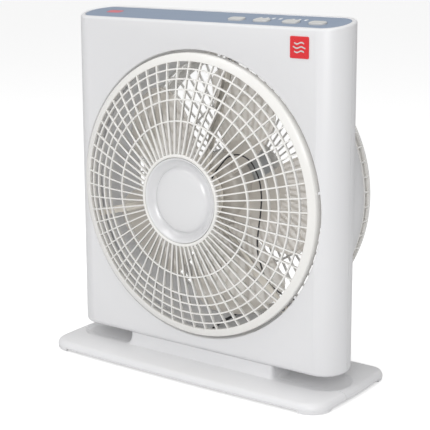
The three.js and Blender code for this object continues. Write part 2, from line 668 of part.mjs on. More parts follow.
// skirts that reach down round the four corners
const skirt = loft([baseLoop(1.8, 0.6), baseLoop(0.6, 2), baseLoop(0.6, BASE_RIM_Z + 2)]);
for (const x of [-300, 172]) {
  baseWhole = baseWhole.add(skirt.intersect(block(x, x + 128, -100, -52, -1, 6)));
  baseWhole = baseWhole.add(skirt.intersect(block(x, x + 128, 56, 100, -1, 6)));
}
// the top is sunk where the body stands over it
const footprint = (grow, z) => bodyLoop(-grow).map(([x, y]) => [x, y, z]);
baseWhole = baseWhole.subtract(loft([footprint(-3, RECESS_Z), footprint(2.5, 14.5)]));
// plinth with a flared foot
const plinthLoop = (grow, z) => {
  const corner = [5 + grow / 2, 5 + grow / 2];
  return roundedLoop(
    -PLINTH_HALF_W - grow, PLINTH_HALF_W + grow, -32.4 - grow, 24 + grow / 2, [corner, corner, corner, corner], 3,
  ).map(([x, y]) => [x, y, z]);
};
baseWhole = baseWhole.add(loft([
  plinthLoop(5, 8), plinthLoop(4.4, 11), plinthLoop(2, 13.6), plinthLoop(0.7, 17), plinthLoop(0, 22),
  plinthLoop(-0.4, BODY_BOTTOM - GAP),
]));
// hollow from below
baseWhole = baseWhole.subtract(loft([baseLoop(4, 0), baseLoop(4.4, 7.4)]));
baseWhole = baseWhole.subtract(block(-PLINTH_HALF_W + 3, PLINTH_HALF_W - 3, -29.4, 20.5, 0, 23.8));
const FOOT_AT = [[-176, -54], [176, -54], [-180, 50], [180, 50]];
const FOOT_NAMES = ['foot_front_left', 'foot_front_right', 'foot_rear_left', 'foot_rear_right'];
for (const [x, y] of FOOT_AT) {
  baseWhole = baseWhole.add(rodZ(14, BASE_RIM_Z, 9, 12, x, y));
}
for (const x of [-157, -82, 76, 150]) {
  baseWhole = baseWhole.add(block(x - 1.5, x + 1.5, BASE_FRONT_Y + 2.4 + (x * x) / 9000, BASE_FRONT_Y + 7, 2, 8));
}
for (const x of [-BASE_SCREW_X, BASE_SCREW_X]) {
  for (const y of [BASE_SCREW_FRONT_Y, BASE_SCREW_REAR_Y]) {
    baseWhole = baseWhole.subtract(rodZ(1.7, 20, 30, HOLE_ROUND, x, y));
  }
}
const baseFront = baseWhole.intersect(block(-300, 300, -200, BASE_SEAM_Y - GAP / 2, -10, 60));
const baseRear = baseWhole.intersect(block(-300, 300, BASE_SEAM_Y + GAP / 2, 200, -10, 60));
function screwZ(x, y, z0, z1, headR, headT, shankR) {
  return spinZ([[0, z0], [headR, z0], [headR, z0 + headT], [shankR, z0 + headT], [shankR, z1], [0, z1]], HOLE_ROUND, x, y);
}

// ---------- the group ----------
const fan = new THREE.Group();
function put(name, solid, color, roughness, metalness = 0, opacity = 1) {
  const material = new THREE.MeshStandardMaterial({ color, roughness, metalness, flatShading: true });
  if (opacity < 1) {
    material.transparent = true;
    material.opacity = opacity;
  }
  const mesh = new THREE.Mesh(geometryOf(solid), material);
  mesh.name = name;
  fan.add(mesh);
}
const WHITE = 0xe4e4e3;
const LATTICE_WHITE = 0xecebe6;
const STEEL = 0x9a9da1;
const DARK = 0x26272a;
put('base_front', baseFront, WHITE, 0.4);
put('base_rear', baseRear, WHITE, 0.4);
FOOT_AT.forEach(([x, y], i) => {
  put(FOOT_NAMES[i], spinZ([[0, 0], [12, 0], [13, 0.6], [13, 2], [0, 2]], 12, x, y), 0xb9bab8, 0.9);
});
const BASE_SCREW_AT = [
  [-BASE_SCREW_X, BASE_SCREW_FRONT_Y], [BASE_SCREW_X, BASE_SCREW_FRONT_Y],
  [-BASE_SCREW_X, BASE_SCREW_REAR_Y], [BASE_SCREW_X, BASE_SCREW_REAR_Y],
];
BASE_SCREW_AT.forEach(([x, y], i) => {
  put(`base_screw_${i + 1}`, screwZ(x, y, 21.3, 38.5, 2.6, 2.1, 1.35), STEEL, 0.4, 0.9);
});
put('front_housing', frontHousing, WHITE, 0.35);
put('rear_housing', rearHousing, WHITE, 0.35);
POST_AT.forEach(([x, z], i) => {
  put(`housing_screw_${i + 1}`, screwY(x, z, 18.4, -18, 3.2, 2.1, 1.45), STEEL, 0.4, 0.9);
});
put('control_panel', controlPanel, 0xa3b2c2, 0.45);
put('panel_mark', panelMark, 0xd86b74, 0.5);
buttonSolids.forEach((solid, i) => put(`${BUTTON_NAMES[i]}_button`, solid, 0xe6e4dc, 0.4));
switchSolids.forEach((solid, i) => put(`${BUTTON_NAMES[i]}_switch`, solid, DARK, 0.5));
put('light_guide', lightGuide, 0xf2f4f4, 0.2);
put('control_board', controlBoard, 0x4f7a4c, 0.6);
put('badge', badge, 0xdf3b3f, 0.35);
put('louvre_grille', louvreGrille, LATTICE_WHITE, 0.4);
put('louvre_hub_cap', hubCap, LATTICE_WHITE, 0.3);
put('louvre_cross', cross, 0xdedcd4, 0.5);
CROSS_ANGLES.forEach((angle, i) => {
  put(`cross_screw_${i + 1}`, aboutAxis(screwY(167, AXIS_Z, -28.8, -16, 2.8, 2, 1.2), angle), STEEL, 0.4, 0.9);
});
put('louvre_motor', louvreMotor, 0xc9cacb, 0.4, 0.6);
put('louvre_shaft', louvreShaft, 0xd8d6ce, 0.4);
put('louvre_lead', louvreLead, 0x1c1c1e, 0.6);
put('impeller', impeller, 0xe4e6f2, 0.15, 0, 0.45);
put('impeller_nut', impellerNut, 0xd5d3cb, 0.4);
put('motor_shaft', motorShaft, STEEL, 0.25, 1);
put('motor_rotor', rotor, 0x8b8d90, 0.35, 0.9);
put('motor_stator', stator, 0x6f7275, 0.5, 0.8);
put('motor_winding_front', winding(38.4, 43.7), 0xb06a35, 0.4, 0.5);
put('motor_winding_rear', winding(59.6, 54.3), 0xb06a35, 0.4, 0.5);
put('motor_front_cover', motorFrontCover, 0xbfc1c2, 0.5, 0.4);
put('motor_rear_cover', motorRearCover, 0xbfc1c2, 0.5, 0.4);
put('bearing_front', bearing(29.6, 36.8), 0xb08a4a, 0.4, 0.8);
put('bearing_rear', bearing(60, 67), 0xb08a4a, 0.4, 0.8);
put('rear_guard', rearGuard, LATTICE_WHITE, 0.45);
GUARD_LUG_ANGLES.forEach((angle, i) => {
  put(`guard_screw_${i + 1}`, aboutAxis(screwY(163, AXIS_Z, 67.4, 54, 3, 2.1, 1.4), angle), STEEL, 0.4, 0.9);
});
put('motor_screw_1', screwY(38, AXIS_Z, 79.2, 64, 3, 1.9, 1.45), STEEL, 0.4, 0.9);
put('motor_screw_2', screwY(-38, AXIS_Z, 79.2, 64, 3, 1.9, 1.45), STEEL, 0.4, 0.9);
put('rear_cap', rearCap, LATTICE_WHITE, 0.4);
put('motor_lead', motorLead, 0x1c1c1e, 0.6);
put('supply_lead', supplyLead, 0xd0d0ce, 0.6);
put('capacitor', capacitor, 0x3c4a66, 0.5);
put('cord_gland', cordGland, DARK, 0.7);

export default fan;
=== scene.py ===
# %% [markdown]
# # A box fan with a slowly turning louvre
# The fan is a flat white body with round ends that stands on a wide plate base. A round louvre
# turns in front of the fan wheel and swings the breeze round. A blue-grey panel with four push
# buttons lies in the sloping top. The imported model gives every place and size, so each piece below
# is made where it belongs, in millimetres, and is turned into metres when it is finished.

# %% Load the frame
import math

import bmesh
import bpy
from mathutils import Matrix, Vector


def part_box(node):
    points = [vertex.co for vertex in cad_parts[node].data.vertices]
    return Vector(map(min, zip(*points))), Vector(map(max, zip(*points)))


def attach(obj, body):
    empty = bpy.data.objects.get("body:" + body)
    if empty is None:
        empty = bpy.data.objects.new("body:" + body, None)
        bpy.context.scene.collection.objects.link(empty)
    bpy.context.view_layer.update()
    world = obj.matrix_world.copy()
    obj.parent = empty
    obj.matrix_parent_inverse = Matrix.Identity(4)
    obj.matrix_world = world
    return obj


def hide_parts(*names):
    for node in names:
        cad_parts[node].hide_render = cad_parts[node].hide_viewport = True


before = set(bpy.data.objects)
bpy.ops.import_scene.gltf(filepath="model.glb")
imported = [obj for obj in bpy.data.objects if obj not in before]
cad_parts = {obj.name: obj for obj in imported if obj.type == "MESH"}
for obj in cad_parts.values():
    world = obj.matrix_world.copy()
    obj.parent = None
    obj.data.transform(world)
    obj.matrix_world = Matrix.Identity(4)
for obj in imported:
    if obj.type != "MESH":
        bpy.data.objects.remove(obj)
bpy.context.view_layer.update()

# %% [markdown]
# ## Sizes
# A moulded fan is drawn from a few planes and radii: the front face, the seam where the two shells
# meet, the sloping top and the axis of the wheel. Naming them once keeps the pieces in step.

# %% Main sizes, in millimetres
MM = 0.001
FRONT_Y, REAR_Y, SEAM_Y = -36.0, 26.0, -5.0
HALF_W, END_X, END_Y = 190.3, 27.0, 31.0
BOTTOM_Z, TOP_Z, SLOPE = 27.5, 418.1, 0.158
AXIS_Z = 215.0
OPENING_R = 172.0
WALL = 2.6
TILT = math.atan(SLOPE)
low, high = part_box("louvre_grille")
print("louvre box, mm:", [round(v / MM, 1) for v in (*low, *high)])

# %% [markdown]
# ## Shaping helpers
# Almost every piece here is one of three shapes: an outline stacked in steps, a profile turned
# about the wheel's axis, or a bar drawn along a line. Small helpers around the mesh operators keep
# each piece short. Outlines start as a plain square whose corners are rounded with a bevel.

# %% Outline, wall and fill helpers
def ring(bm, x0, x1, y0, y1, front, rear, z, segments=12, stretch=1.0):
    """A rounded rectangle as a loop of edges: corner radius at the front and at the rear."""
    before = set(bm.edges)
    verts = bmesh.ops.create_grid(bm, x_segments=1, y_segments=1, size=0.5)["verts"]
    bmesh.ops.scale(bm, vec=((x1 - x0) * stretch, y1 - y0, 1), verts=verts)
    face = verts[0].link_faces[0]
    for side, radius in ((-1, front), (1, rear)):
        corners = [v for v in verts if v.is_valid and v.co.y * side > 0]
        bmesh.ops.bevel(bm, geom=corners, offset=radius, offset_type="OFFSET", segments=segments,
                        profile=0.5, affect="VERTICES", material=-1, clamp_overlap=False)
    edges = [e for e in bm.edges if e not in before]
    points = list({v for e in edges for v in e.verts})
    bmesh.ops.scale(bm, vec=(1 / stretch, 1, 1), verts=points)
    bmesh.ops.translate(bm, vec=((x0 + x1) / 2, (y0 + y1) / 2, z), verts=points)
    faces = list({f for e in edges for f in e.link_faces})
    bmesh.ops.delete(bm, geom=faces, context="FACES_ONLY")
    return edges


def points_of(edges):
    return list({v for e in edges for v in e.verts})


def wall(bm, a, b):
    """Faces between two loops."""
    bmesh.ops.bridge_loops(bm, edges=a + b)


def stack(bm, loops):
    for a, b in zip(loops, loops[1:]):
        wall(bm, a, b)


def cap(bm, loop):
    """One face across a loop."""
    bmesh.ops.edgeloop_fill(bm, edges=loop)


def fill(bm, edges, normal=(0, 0, 1)):
    """Flat faces inside the outermost loop, leaving the inner loops open."""
    bmesh.ops.triangle_fill(bm, edges=edges, use_beauty=True, use_dissolve=False, normal=normal)


# %% Turning, drawing and repeating helpers
def turned(bm, profile, steps=96, closed=True, x=0.0, z=AXIS_Z):
    """A [radius, y] profile turned about an axis along Y."""
    verts = [bm.verts.new((x + r, y, z)) for r, y in profile]
    edges = [bm.edges.new(pair) for pair in zip(verts, verts[1:])]
    if closed:
        edges.append(bm.edges.new((verts[-1], verts[0])))
    bmesh.ops.spin(bm, geom=verts + edges, cent=(x, 0, z), axis=(0, 1, 0), dvec=(0, 0, 0),
                   angle=math.tau, steps=steps, use_merge=True, use_duplicate=False)


def about_axis(bm, verts, degrees):
    """Turns points about the wheel's axis, from +X towards +Z."""
    bmesh.ops.rotate(bm, cent=(0, 0, AXIS_Z), matrix=Matrix.Rotation(-math.radians(degrees), 3, "Y"),
                     verts=verts)


def bar(bm, section, steps):
    """A flat section pushed through a list of moves, with both ends closed. Returns its points."""
    before = set(bm.verts)
    face = bm.faces.new([bm.verts.new(p) for p in section])
    for move in steps:
        pushed = bmesh.ops.extrude_face_region(bm, geom=[face])["geom"]
        face = next(g for g in pushed if isinstance(g, bmesh.types.BMFace))
        bmesh.ops.translate(bm, vec=move, verts=list(face.verts))
    return [v for v in bm.verts if v not in before]


def repeat_about_axis(bm, verts, count):
    """Copies the given points, with all between them, to fill a full turn."""
    kept = set(verts)
    geom = verts + [e for e in bm.edges if kept.issuperset(e.verts)]
    geom += [f for f in bm.faces if kept.issuperset(f.verts)]
    bmesh.ops.spin(bm, geom=geom, cent=(0, 0, AXIS_Z), axis=(0, 1, 0), dvec=(0, 0, 0),
                   angle=math.tau * (count - 1) / count, steps=count - 1, use_duplicate=True)


def block(bm, x0, x1, y0, y1, z0, z1, soft=0.4):
    """A bar of plastic with softened edges. Returns its points."""
    before = set(bm.verts)
    verts = bmesh.ops.create_cube(bm, size=1)["verts"]
    bmesh.ops.scale(bm, vec=(x1 - x0, y1 - y0, z1 - z0), verts=verts)
    bmesh.ops.translate(bm, vec=((x0 + x1) / 2, (y0 + y1) / 2, (z0 + z1) / 2), verts=verts)
    edges = list({e for v in verts for e in v.link_edges})
    bmesh.ops.bevel(bm, geom=edges, offset=soft, segments=2, profile=0.5, affect="EDGES",
                    material=-1, clamp_overlap=True)
    return [v for v in bm.verts if v not in before]


# %% [markdown]
# ## Finishing a piece
# Every piece goes through the same last steps: doubled points are merged, faces are turned
# outwards, hard corners stay sharp while soft ones shade smoothly, and millimetres become metres.
# Then it is told which body it rides on, which finish it wears and which solids it stands for.

# %% The finishing helper
ON_TOP = Matrix.Translation((0, FRONT_Y, TOP_Z)) @ Matrix.Rotation(TILT, 4, "X")


def finished(bm, name, body, material, stands_for=(), place=None, sharp=32, thick=0.0, soft=0):
    bmesh.ops.remove_doubles(bm, verts=bm.verts, dist=0.002)
    bmesh.ops.recalc_face_normals(bm, faces=bm.faces)
    if place is not None:
        bmesh.ops.transform(bm, matrix=place, verts=bm.verts)
    bmesh.ops.scale(bm, vec=(MM, MM, MM), verts=bm.verts)
    for face in bm.faces:
        face.smooth = True
    for edge in bm.edges:
        edge.smooth = edge.calc_face_angle(0.0) < math.radians(sharp)
    mesh = bpy.data.meshes.new(name)
    bm.to_mesh(mesh)
    bm.free()
    piece = bpy.data.objects.new(name, mesh)
    bpy.context.scene.collection.objects.link(piece)
    mesh.materials.append(material)
    if thick:
        shell = piece.modifiers.new("wall", "SOLIDIFY")
        shell.thickness = thick * MM
        shell.offset = -1
        shell.use_even_offset = True
    if soft:
        round_off = piece.modifiers.new("soft", "SUBSURF")
        round_off.levels = round_off.render_levels = soft
    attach(piece, body)
    if stands_for:
        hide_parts(*stands_for)
    print(f"{name}: {len(mesh.vertices)} points, {len(mesh.polygons)} faces")
    return piece


# %% [markdown]
# ## Finishes
# Moulded plastic looks alive through small things: a faint drift in its tone, a fine spark-eroded
# grain, a little more gloss where hands rub an edge and a breath of dust on what faces up. Each of
# these effects is a node group, built once and given its own strength in every finish.

# %% Node group helpers
def new_group(name, inputs, outputs):
    tree = bpy.data.node_groups.new(name, "ShaderNodeTree")
    for label, kind, value in inputs:
        socket = tree.interface.new_socket(label, in_out="INPUT", socket_type=kind)
        socket.default_value = value
    for label, kind in outputs:
        tree.interface.new_socket(label, in_out="OUTPUT", socket_type=kind)
    return tree, tree.nodes.new("NodeGroupInput"), tree.nodes.new("NodeGroupOutput")


def add(tree, kind, **settings):
    """A node with settings, and with values for its named or numbered inputs."""
    node = tree.nodes.new(kind)
    for key, value in settings.get("set", {}).items():
        setattr(node, key, value)
    for key, value in settings.get("values", {}).items():
        node.inputs[key].default_value = value
    for key, source in settings.get("links", {}).items():
        tree.links.new(source, node.inputs[key])
    return node


def maths(tree, operation, a, b, clamp=False):
    node = add(tree, "ShaderNodeMath", set={"operation": operation, "use_clamp": clamp})
    for index, value in enumerate((a, b)):
        if isinstance(value, (int, float)):
            node.inputs[index].default_value = value
        else:
            tree.links.new(value, node.inputs[index])
    return node.outputs[0]


FLOAT, COLOR = "NodeSocketFloat", "NodeSocketColor"

# %% Tone drift: the colour wanders a little over the piece
tone_tree, g_in, g_out = new_group(
    "tone_drift",
    [("Color", COLOR, (0.8, 0.8, 0.8, 1)), ("Other Color", COLOR, (0.7, 0.7, 0.7, 1)),
     ("Scale", FLOAT, 9.0), ("Amount", FLOAT, 0.3)],
    [("Color", COLOR)])
coords = add(tone_tree, "ShaderNodeTexCoord")
clouds = add(tone_tree, "ShaderNodeTexNoise", values={"Detail": 3.0, "Roughness": 0.6},
             links={"Vector": coords.outputs["Object"], "Scale": g_in.outputs["Scale"]})
share = maths(tone_tree, "MULTIPLY", clouds.outputs["Fac"], g_in.outputs["Amount"])
mixed = add(tone_tree, "ShaderNodeMix", set={"data_type": "RGBA"}, links={0: share})
tone_tree.links.new(g_in.outputs["Color"], mixed.inputs[6])
tone_tree.links.new(g_in.outputs["Other Color"], mixed.inputs[7])
tone_tree.links.new(mixed.outputs[2], g_out.inputs["Color"])
print("group:", tone_tree.name)

# %% Skin grain: fine height and gloss from spark erosion, with long shallow flow marks
grain_tree, g_in, g_out = new_group(
    "skin_grain",
    [("Size", FLOAT, 0.5), ("Flow", FLOAT, 0.3), ("Gloss", FLOAT, 0.35), ("Spread", FLOAT, 0.1)],
    [("Height", FLOAT), ("Roughness", FLOAT)])
coords = add(grain_tree, "ShaderNodeTexCoord")
scale = maths(grain_tree, "DIVIDE", 1000.0, g_in.outputs["Size"])
pores = add(grain_tree, "ShaderNodeTexNoise", values={"Detail": 2.0},
            links={"Vector": coords.outputs["Object"], "Scale": scale})
flow = add(grain_tree, "ShaderNodeTexNoise", values={"Scale": 16.0, "Detail": 1.0, "Distortion": 1.2},
           links={"Vector": coords.outputs["Object"]})
waves = maths(grain_tree, "MULTIPLY", flow.outputs["Fac"], g_in.outputs["Flow"])
height = maths(grain_tree, "ADD", pores.outputs["Fac"], waves)
smears = add(grain_tree, "ShaderNodeTexNoise", values={"Scale": 34.0, "Detail": 4.0},
             links={"Vector": coords.outputs["Object"]})
centred = maths(grain_tree, "SUBTRACT", smears.outputs["Fac"], 0.5)
swing = maths(grain_tree, "MULTIPLY", centred, g_in.outputs["Spread"])
gloss = maths(grain_tree, "ADD", g_in.outputs["Gloss"], swing, clamp=True)
grain_tree.links.new(height, g_out.inputs["Height"])
grain_tree.links.new(gloss, g_out.inputs["Roughness"])
print("group:", grain_tree.name)

# %% Rub and dust: polished edges, and dust on faces that look up
wear_tree, g_in, g_out = new_group(
    "rub_and_dust",
    [("Color", COLOR, (0.8, 0.8, 0.8, 1)), ("Roughness", FLOAT, 0.4), ("Rub", FLOAT, 0.3),
     ("Dust", FLOAT, 0.1), ("Dust Color", COLOR, (0.62, 0.6, 0.56, 1))],
    [("Color", COLOR), ("Roughness", FLOAT)])
shape = add(wear_tree, "ShaderNodeNewGeometry")
coords = add(wear_tree, "ShaderNodeTexCoord")
ridge = add(wear_tree, "ShaderNodeMapRange", values={"From Min": 0.52, "From Max": 0.62},
            links={"Value": shape.outputs["Pointiness"]})
rubbed = maths(wear_tree, "MULTIPLY", ridge.outputs["Result"], g_in.outputs["Rub"])
axes = add(wear_tree, "ShaderNodeSeparateXYZ", links={"Vector": shape.outputs["Normal"]})
upward = add(wear_tree, "ShaderNodeMapRange", values={"From Min": 0.5, "From Max": 1.0},
             links={"Value": axes.outputs["Z"]})
patches = add(wear_tree, "ShaderNodeTexNoise", values={"Scale": 22.0, "Detail": 6.0, "Roughness": 0.7},
              links={"Vector": coords.outputs["Object"]})
settled = maths(wear_tree, "MULTIPLY", upward.outputs["Result"], patches.outputs["Fac"])
dusty = maths(wear_tree, "MULTIPLY", settled, g_in.outputs["Dust"], clamp=True)
mixed = add(wear_tree, "ShaderNodeMix", set={"data_type": "RGBA"}, links={0: dusty})
wear_tree.links.new(g_in.outputs["Color"], mixed.inputs[6])
wear_tree.links.new(g_in.outputs["Dust Color"], mixed.inputs[7])
duller = maths(wear_tree, "ADD", g_in.outputs["Roughness"], dusty)
shinier = maths(wear_tree, "MULTIPLY", rubbed, 0.2)
final = maths(wear_tree, "SUBTRACT", duller, shinier, clamp=True)
wear_tree.links.new(mixed.outputs[2], g_out.inputs["Color"])
wear_tree.links.new(final, g_out.inputs["Roughness"])
print("group:", wear_tree.name)

# %% Fine lines: rings or layers for turned metal, windings and stacked sheets
lines_tree, g_in, g_out = new_group(
    "fine_lines",
    [("Along", FLOAT, 400.0), ("Around", FLOAT, 0.0), ("Color", COLOR, (0.5, 0.5, 0.5, 1)),
     ("Line Color", COLOR, (0.2, 0.2, 0.2, 1))],
    [("Color", COLOR), ("Height", FLOAT)])
coords = add(lines_tree, "ShaderNodeTexCoord")
axes = add(lines_tree, "ShaderNodeSeparateXYZ", links={"Vector": coords.outputs["Object"]})
lift = maths(lines_tree, "SUBTRACT", axes.outputs["Z"], AXIS_Z * MM)
flat = maths(lines_tree, "ADD", maths(lines_tree, "MULTIPLY", axes.outputs["X"], axes.outputs["X"]),
             maths(lines_tree, "MULTIPLY", lift, lift))
radius = maths(lines_tree, "POWER", flat, 0.5)
phase = maths(lines_tree, "ADD", maths(lines_tree, "MULTIPLY", axes.outputs["Y"], g_in.outputs["Along"]),
              maths(lines_tree, "MULTIPLY", radius, g_in.outputs["Around"]))
wave = maths(lines_tree, "SINE", maths(lines_tree, "MULTIPLY", phase, math.tau), 0)
level = maths(lines_tree, "ADD", maths(lines_tree, "MULTIPLY", wave, 0.5), 0.5)
mixed = add(lines_tree, "ShaderNodeMix", set={"data_type": "RGBA"}, links={0: level})
lines_tree.links.new(g_in.outputs["Line Color"], mixed.inputs[6])
lines_tree.links.new(g_in.outputs["Color"], mixed.inputs[7])
lines_tree.links.new(mixed.outputs[2], g_out.inputs["Color"])
lines_tree.links.new(level, g_out.inputs["Height"])
print("group:", lines_tree.name)

# %% [markdown]
# ## The finish recipe
# One recipe serves every plastic and metal on the fan. Colour runs through the tone group, an
# optional line pattern and the dust group; gloss runs through the grain and rub groups; and the
# grain's height feeds a bump node. Uniform values sit directly on the shader.

# %% Recipe and palette
def linear(red, green, blue):
    """A screen colour, 0 to 255, as light."""
    return tuple(((c / 255 + 0.055) / 1.055) ** 2.4 if c > 10 else c / 3295 for c in (red, green, blue)) + (1,)


def finish_of(name, color, other=None, gloss=0.4, spread=0.12, size=0.5, bump=0.04, flow=0.3, tone=0.5,
              rub=0.3, dust=0.12, metal=0.0, coat=0.0, lines=None, alpha=1.0, ior=1.5, inner=0.0,
              sheen_of=None):
    material = bpy.data.materials.new(name)
    material.use_nodes = True
    tree = material.node_tree
    shader = tree.nodes["Principled BSDF"]
    shader.inputs["Metallic"].default_value = metal
    shader.inputs["IOR"].default_value = ior
    shader.inputs["Coat Weight"].default_value = coat
    shader.inputs["Coat Roughness"].default_value = 0.12
    if inner:
        shader.inputs["Subsurface Weight"].default_value = inner
        shader.inputs["Subsurface Radius"].default_value = (1.0, 0.95, 0.9)
        shader.inputs["Subsurface Scale"].default_value = 0.0015
    if alpha < 1:
        shader.inputs["Alpha"].default_value = alpha
    wide = other or tuple(c * 0.9 for c in color[:3]) + (1,)
    tone_node = add(tree, "ShaderNodeGroup", set={"node_tree": tone_tree},
                    values={"Color": color, "Other Color": wide, "Amount": tone})
    tint, extra = tone_node.outputs["Color"], None
    if lines:
        along, around, line_color = lines
        line_node = add(tree, "ShaderNodeGroup", set={"node_tree": lines_tree},
                        values={"Along": along, "Around": around, "Line Color": line_color},
                        links={"Color": tint})
        tint, extra = line_node.outputs["Color"], line_node.outputs["Height"]
    grain = add(tree, "ShaderNodeGroup", set={"node_tree": grain_tree},
                values={"Size": size, "Flow": flow, "Gloss": gloss, "Spread": spread})
    wear = add(tree, "ShaderNodeGroup", set={"node_tree": wear_tree},
               values={"Rub": rub, "Dust": dust},
               links={"Color": tint, "Roughness": grain.outputs["Roughness"]})
    height = grain.outputs["Height"]
    if extra is not None:
        height = maths(tree, "ADD", height, extra)
    relief = add(tree, "ShaderNodeBump", values={"Strength": bump, "Distance": 0.0006},
                 links={"Height": height})
    tree.links.new(wear.outputs["Color"], shader.inputs["Base Color"])
    tree.links.new(wear.outputs["Roughness"], shader.inputs["Roughness"])
    tree.links.new(relief.outputs["Normal"], shader.inputs["Normal"])
    return material


white = finish_of("housing white", linear(229, 229, 230), linear(223, 223, 226), gloss=0.34, bump=0.06,
                  inner=0.05)
base_white = finish_of("base white", linear(233, 233, 234), linear(226, 226, 229), gloss=0.3, bump=0.05,
                       dust=0.16, inner=0.05)
lattice = finish_of("lattice white", linear(238, 237, 234), linear(232, 230, 226), gloss=0.24, bump=0.04,
                    dust=0.05, inner=0.08)
hub_white = finish_of("hub white", linear(226, 226, 227), linear(221, 221, 223), gloss=0.2, bump=0.02, coat=0.3,
                      dust=0.04)
inside = finish_of("inner white", linear(240, 235, 225), linear(234, 227, 216), gloss=0.45, dust=0.2)
panel_blue = finish_of("panel blue", linear(142, 155, 174), linear(134, 147, 166), gloss=0.6, size=0.8, ior=1.3,
                       bump=0.16, dust=0.05)
button_white = finish_of("button white", linear(206, 206, 204), linear(198, 198, 196), gloss=0.4,
                         size=0.4, bump=0.05, rub=0.8, dust=0.05)
signal_red = finish_of("signal red", linear(222, 46, 52), linear(208, 38, 46), gloss=0.28, size=0.3,
                       bump=0.03, coat=0.3, dust=0.03)
soft_red = finish_of("faded red", linear(214, 112, 122), linear(200, 96, 108), gloss=0.4, size=0.3, dust=0.03)
print("finishes:", len(bpy.data.materials) - len(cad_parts))

# %% Finishes of the inner parts
steel = finish_of("plated steel", linear(176, 178, 182), gloss=0.28, metal=1.0, size=0.25, bump=0.05,
                  lines=(0.0, 2600.0, linear(150, 152, 158)), dust=0.02)
rubber = finish_of("foot rubber", linear(176, 177, 175), gloss=0.85, size=0.9, bump=0.2, dust=0.2)
dark = finish_of("dark plastic", linear(40, 41, 45), gloss=0.5, size=0.5, bump=0.08)
clear = finish_of("clear guide", linear(236, 240, 242), gloss=0.12, size=0.3, bump=0.02, tone=0.2,
                  coat=0.4, dust=0.0)
board_green = finish_of("board green", linear(58, 104, 62), linear(84, 132, 74), gloss=0.4, size=1.6,
                        bump=0.2, tone=1.0)
motor_tin = finish_of("motor tin", linear(176, 178, 180), gloss=0.38, metal=0.85, size=0.6,
                      lines=(900.0, 0.0, linear(160, 162, 166)), dust=0.15)
black_wire = finish_of("black lead", linear(44, 44, 48), gloss=0.45, size=0.4, bump=0.05, dust=0.05)
grey_wire = finish_of("grey lead", linear(196, 196, 194), gloss=0.5, size=0.5, bump=0.05)
sheets = finish_of("stacked sheets", linear(126, 130, 134), gloss=0.4, metal=0.85, size=0.4,
                   lines=(2000.0, 0.0, linear(70, 72, 76)))
copper = finish_of("copper winding", linear(190, 112, 58), linear(160, 86, 40), gloss=0.32, metal=0.8,
                   size=0.4, bump=0.2, lines=(0.0, 1600.0, linear(120, 60, 26)), dust=0.0)
cast = finish_of("cast cover", linear(190, 192, 193), linear(170, 172, 174), gloss=0.5, metal=0.55,
                 size=1.2, bump=0.3, dust=0.25)
bronze = finish_of("sintered bronze", linear(184, 146, 84), gloss=0.45, metal=0.9, size=0.2, bump=0.15)
can_blue = finish_of("capacitor sleeve", linear(66, 82, 112), gloss=0.35, size=0.8, bump=0.04)
blade = finish_of("blade plastic", linear(240, 234, 225), linear(232, 226, 219), gloss=0.14, spread=0.08,
                  size=1.5, bump=0.03, tone=0.7, dust=0.1, coat=0.3, alpha=0.56)
print("inner finishes ready, blade covers", 0.56)

# %% [markdown]
# ## Body skin
# The body is moulded in two shells that meet on a seam round the ends. Both come from one skin: the
# plan of the body is a rectangle whose ends are half ellipses, and that outline is stacked with a
# soft lower edge, straight sides, a small upper edge, and the pocket for the panel sunk in the
# sloping top. Cutting one skin at the seam makes sure that the shells match.

# %% Build the skin
def top_at(y):
    return TOP_Z + SLOPE * (y - FRONT_Y)


def body_ring(bm, inset, z=None, drop=0.0):
    edges = ring(bm, -HALF_W + inset, HALF_W - inset, FRONT_Y + inset, REAR_Y - inset,
                 END_Y - inset - 0.01, END_Y - inset - 0.01, 0, 20, (END_Y - inset) / (END_X - inset))
    for v in points_of(edges):
        v.co.z = z if z is not None else top_at(v.co.y) - drop
    return edges


def hold_flat(bm, y):
    """A narrow border inside the big flat face at y, so that the face stays flat in the light."""
    face = max((f for f in bm.faces if abs(f.calc_center_median().y - y) < 0.01), key=lambda f: f.calc_area())
    bmesh.ops.inset_region(bm, faces=[face], thickness=1.2, use_even_offset=True)


def body_skin():
    bm = bmesh.new()
    loops = []
    for step in range(6):
        a = math.radians(18 * step)
        loops.append(body_ring(bm, 5 * (1 - math.sin(a)), z=BOTTOM_Z + 5 * (1 - math.cos(a))))
    for step in range(5):
        a = math.radians(22.5 * step)
        loops.append(body_ring(bm, 2.4 * (1 - math.cos(a)), drop=2.4 * (1 - math.sin(a))))
    for inset, drop in ((5.1, 0.0), (5.6, 0.5), (5.6, 2.7), (10.0, 2.7), (10.0, 17.0)):
        loops.append(body_ring(bm, inset, drop=drop))
    stack(bm, loops)
    cap(bm, loops[0])
    cap(bm, loops[-1])
    hold_flat(bm, FRONT_Y)
    hold_flat(bm, REAR_Y)
    return bm


def closed_half(bm, place, side, along="y"):
    """Keeps one half of a closed skin and closes the cut."""
    at, out = ((0, place, 0), (0, side, 0)) if along == "y" else ((place, 0, 0), (side, 0, 0))
    cut = bmesh.ops.bisect_plane(bm, geom=bm.verts[:] + bm.edges[:] + bm.faces[:], dist=0.001,
                                 plane_co=at, plane_no=out, clear_outer=True)["geom_cut"]
    fill(bm, [g for g in cut if isinstance(g, bmesh.types.BMEdge)], normal=out)


# %% [markdown]
# ## Carving
# The round opening is wider than the flat part of the face, so its edge runs out onto the rounded
# ends. Drawing such a curve by hand is hopeless; cutting a turned plug out of the body gives it
# exactly. The boolean modifier does the cut on two helper objects, and only the cut mesh is kept.

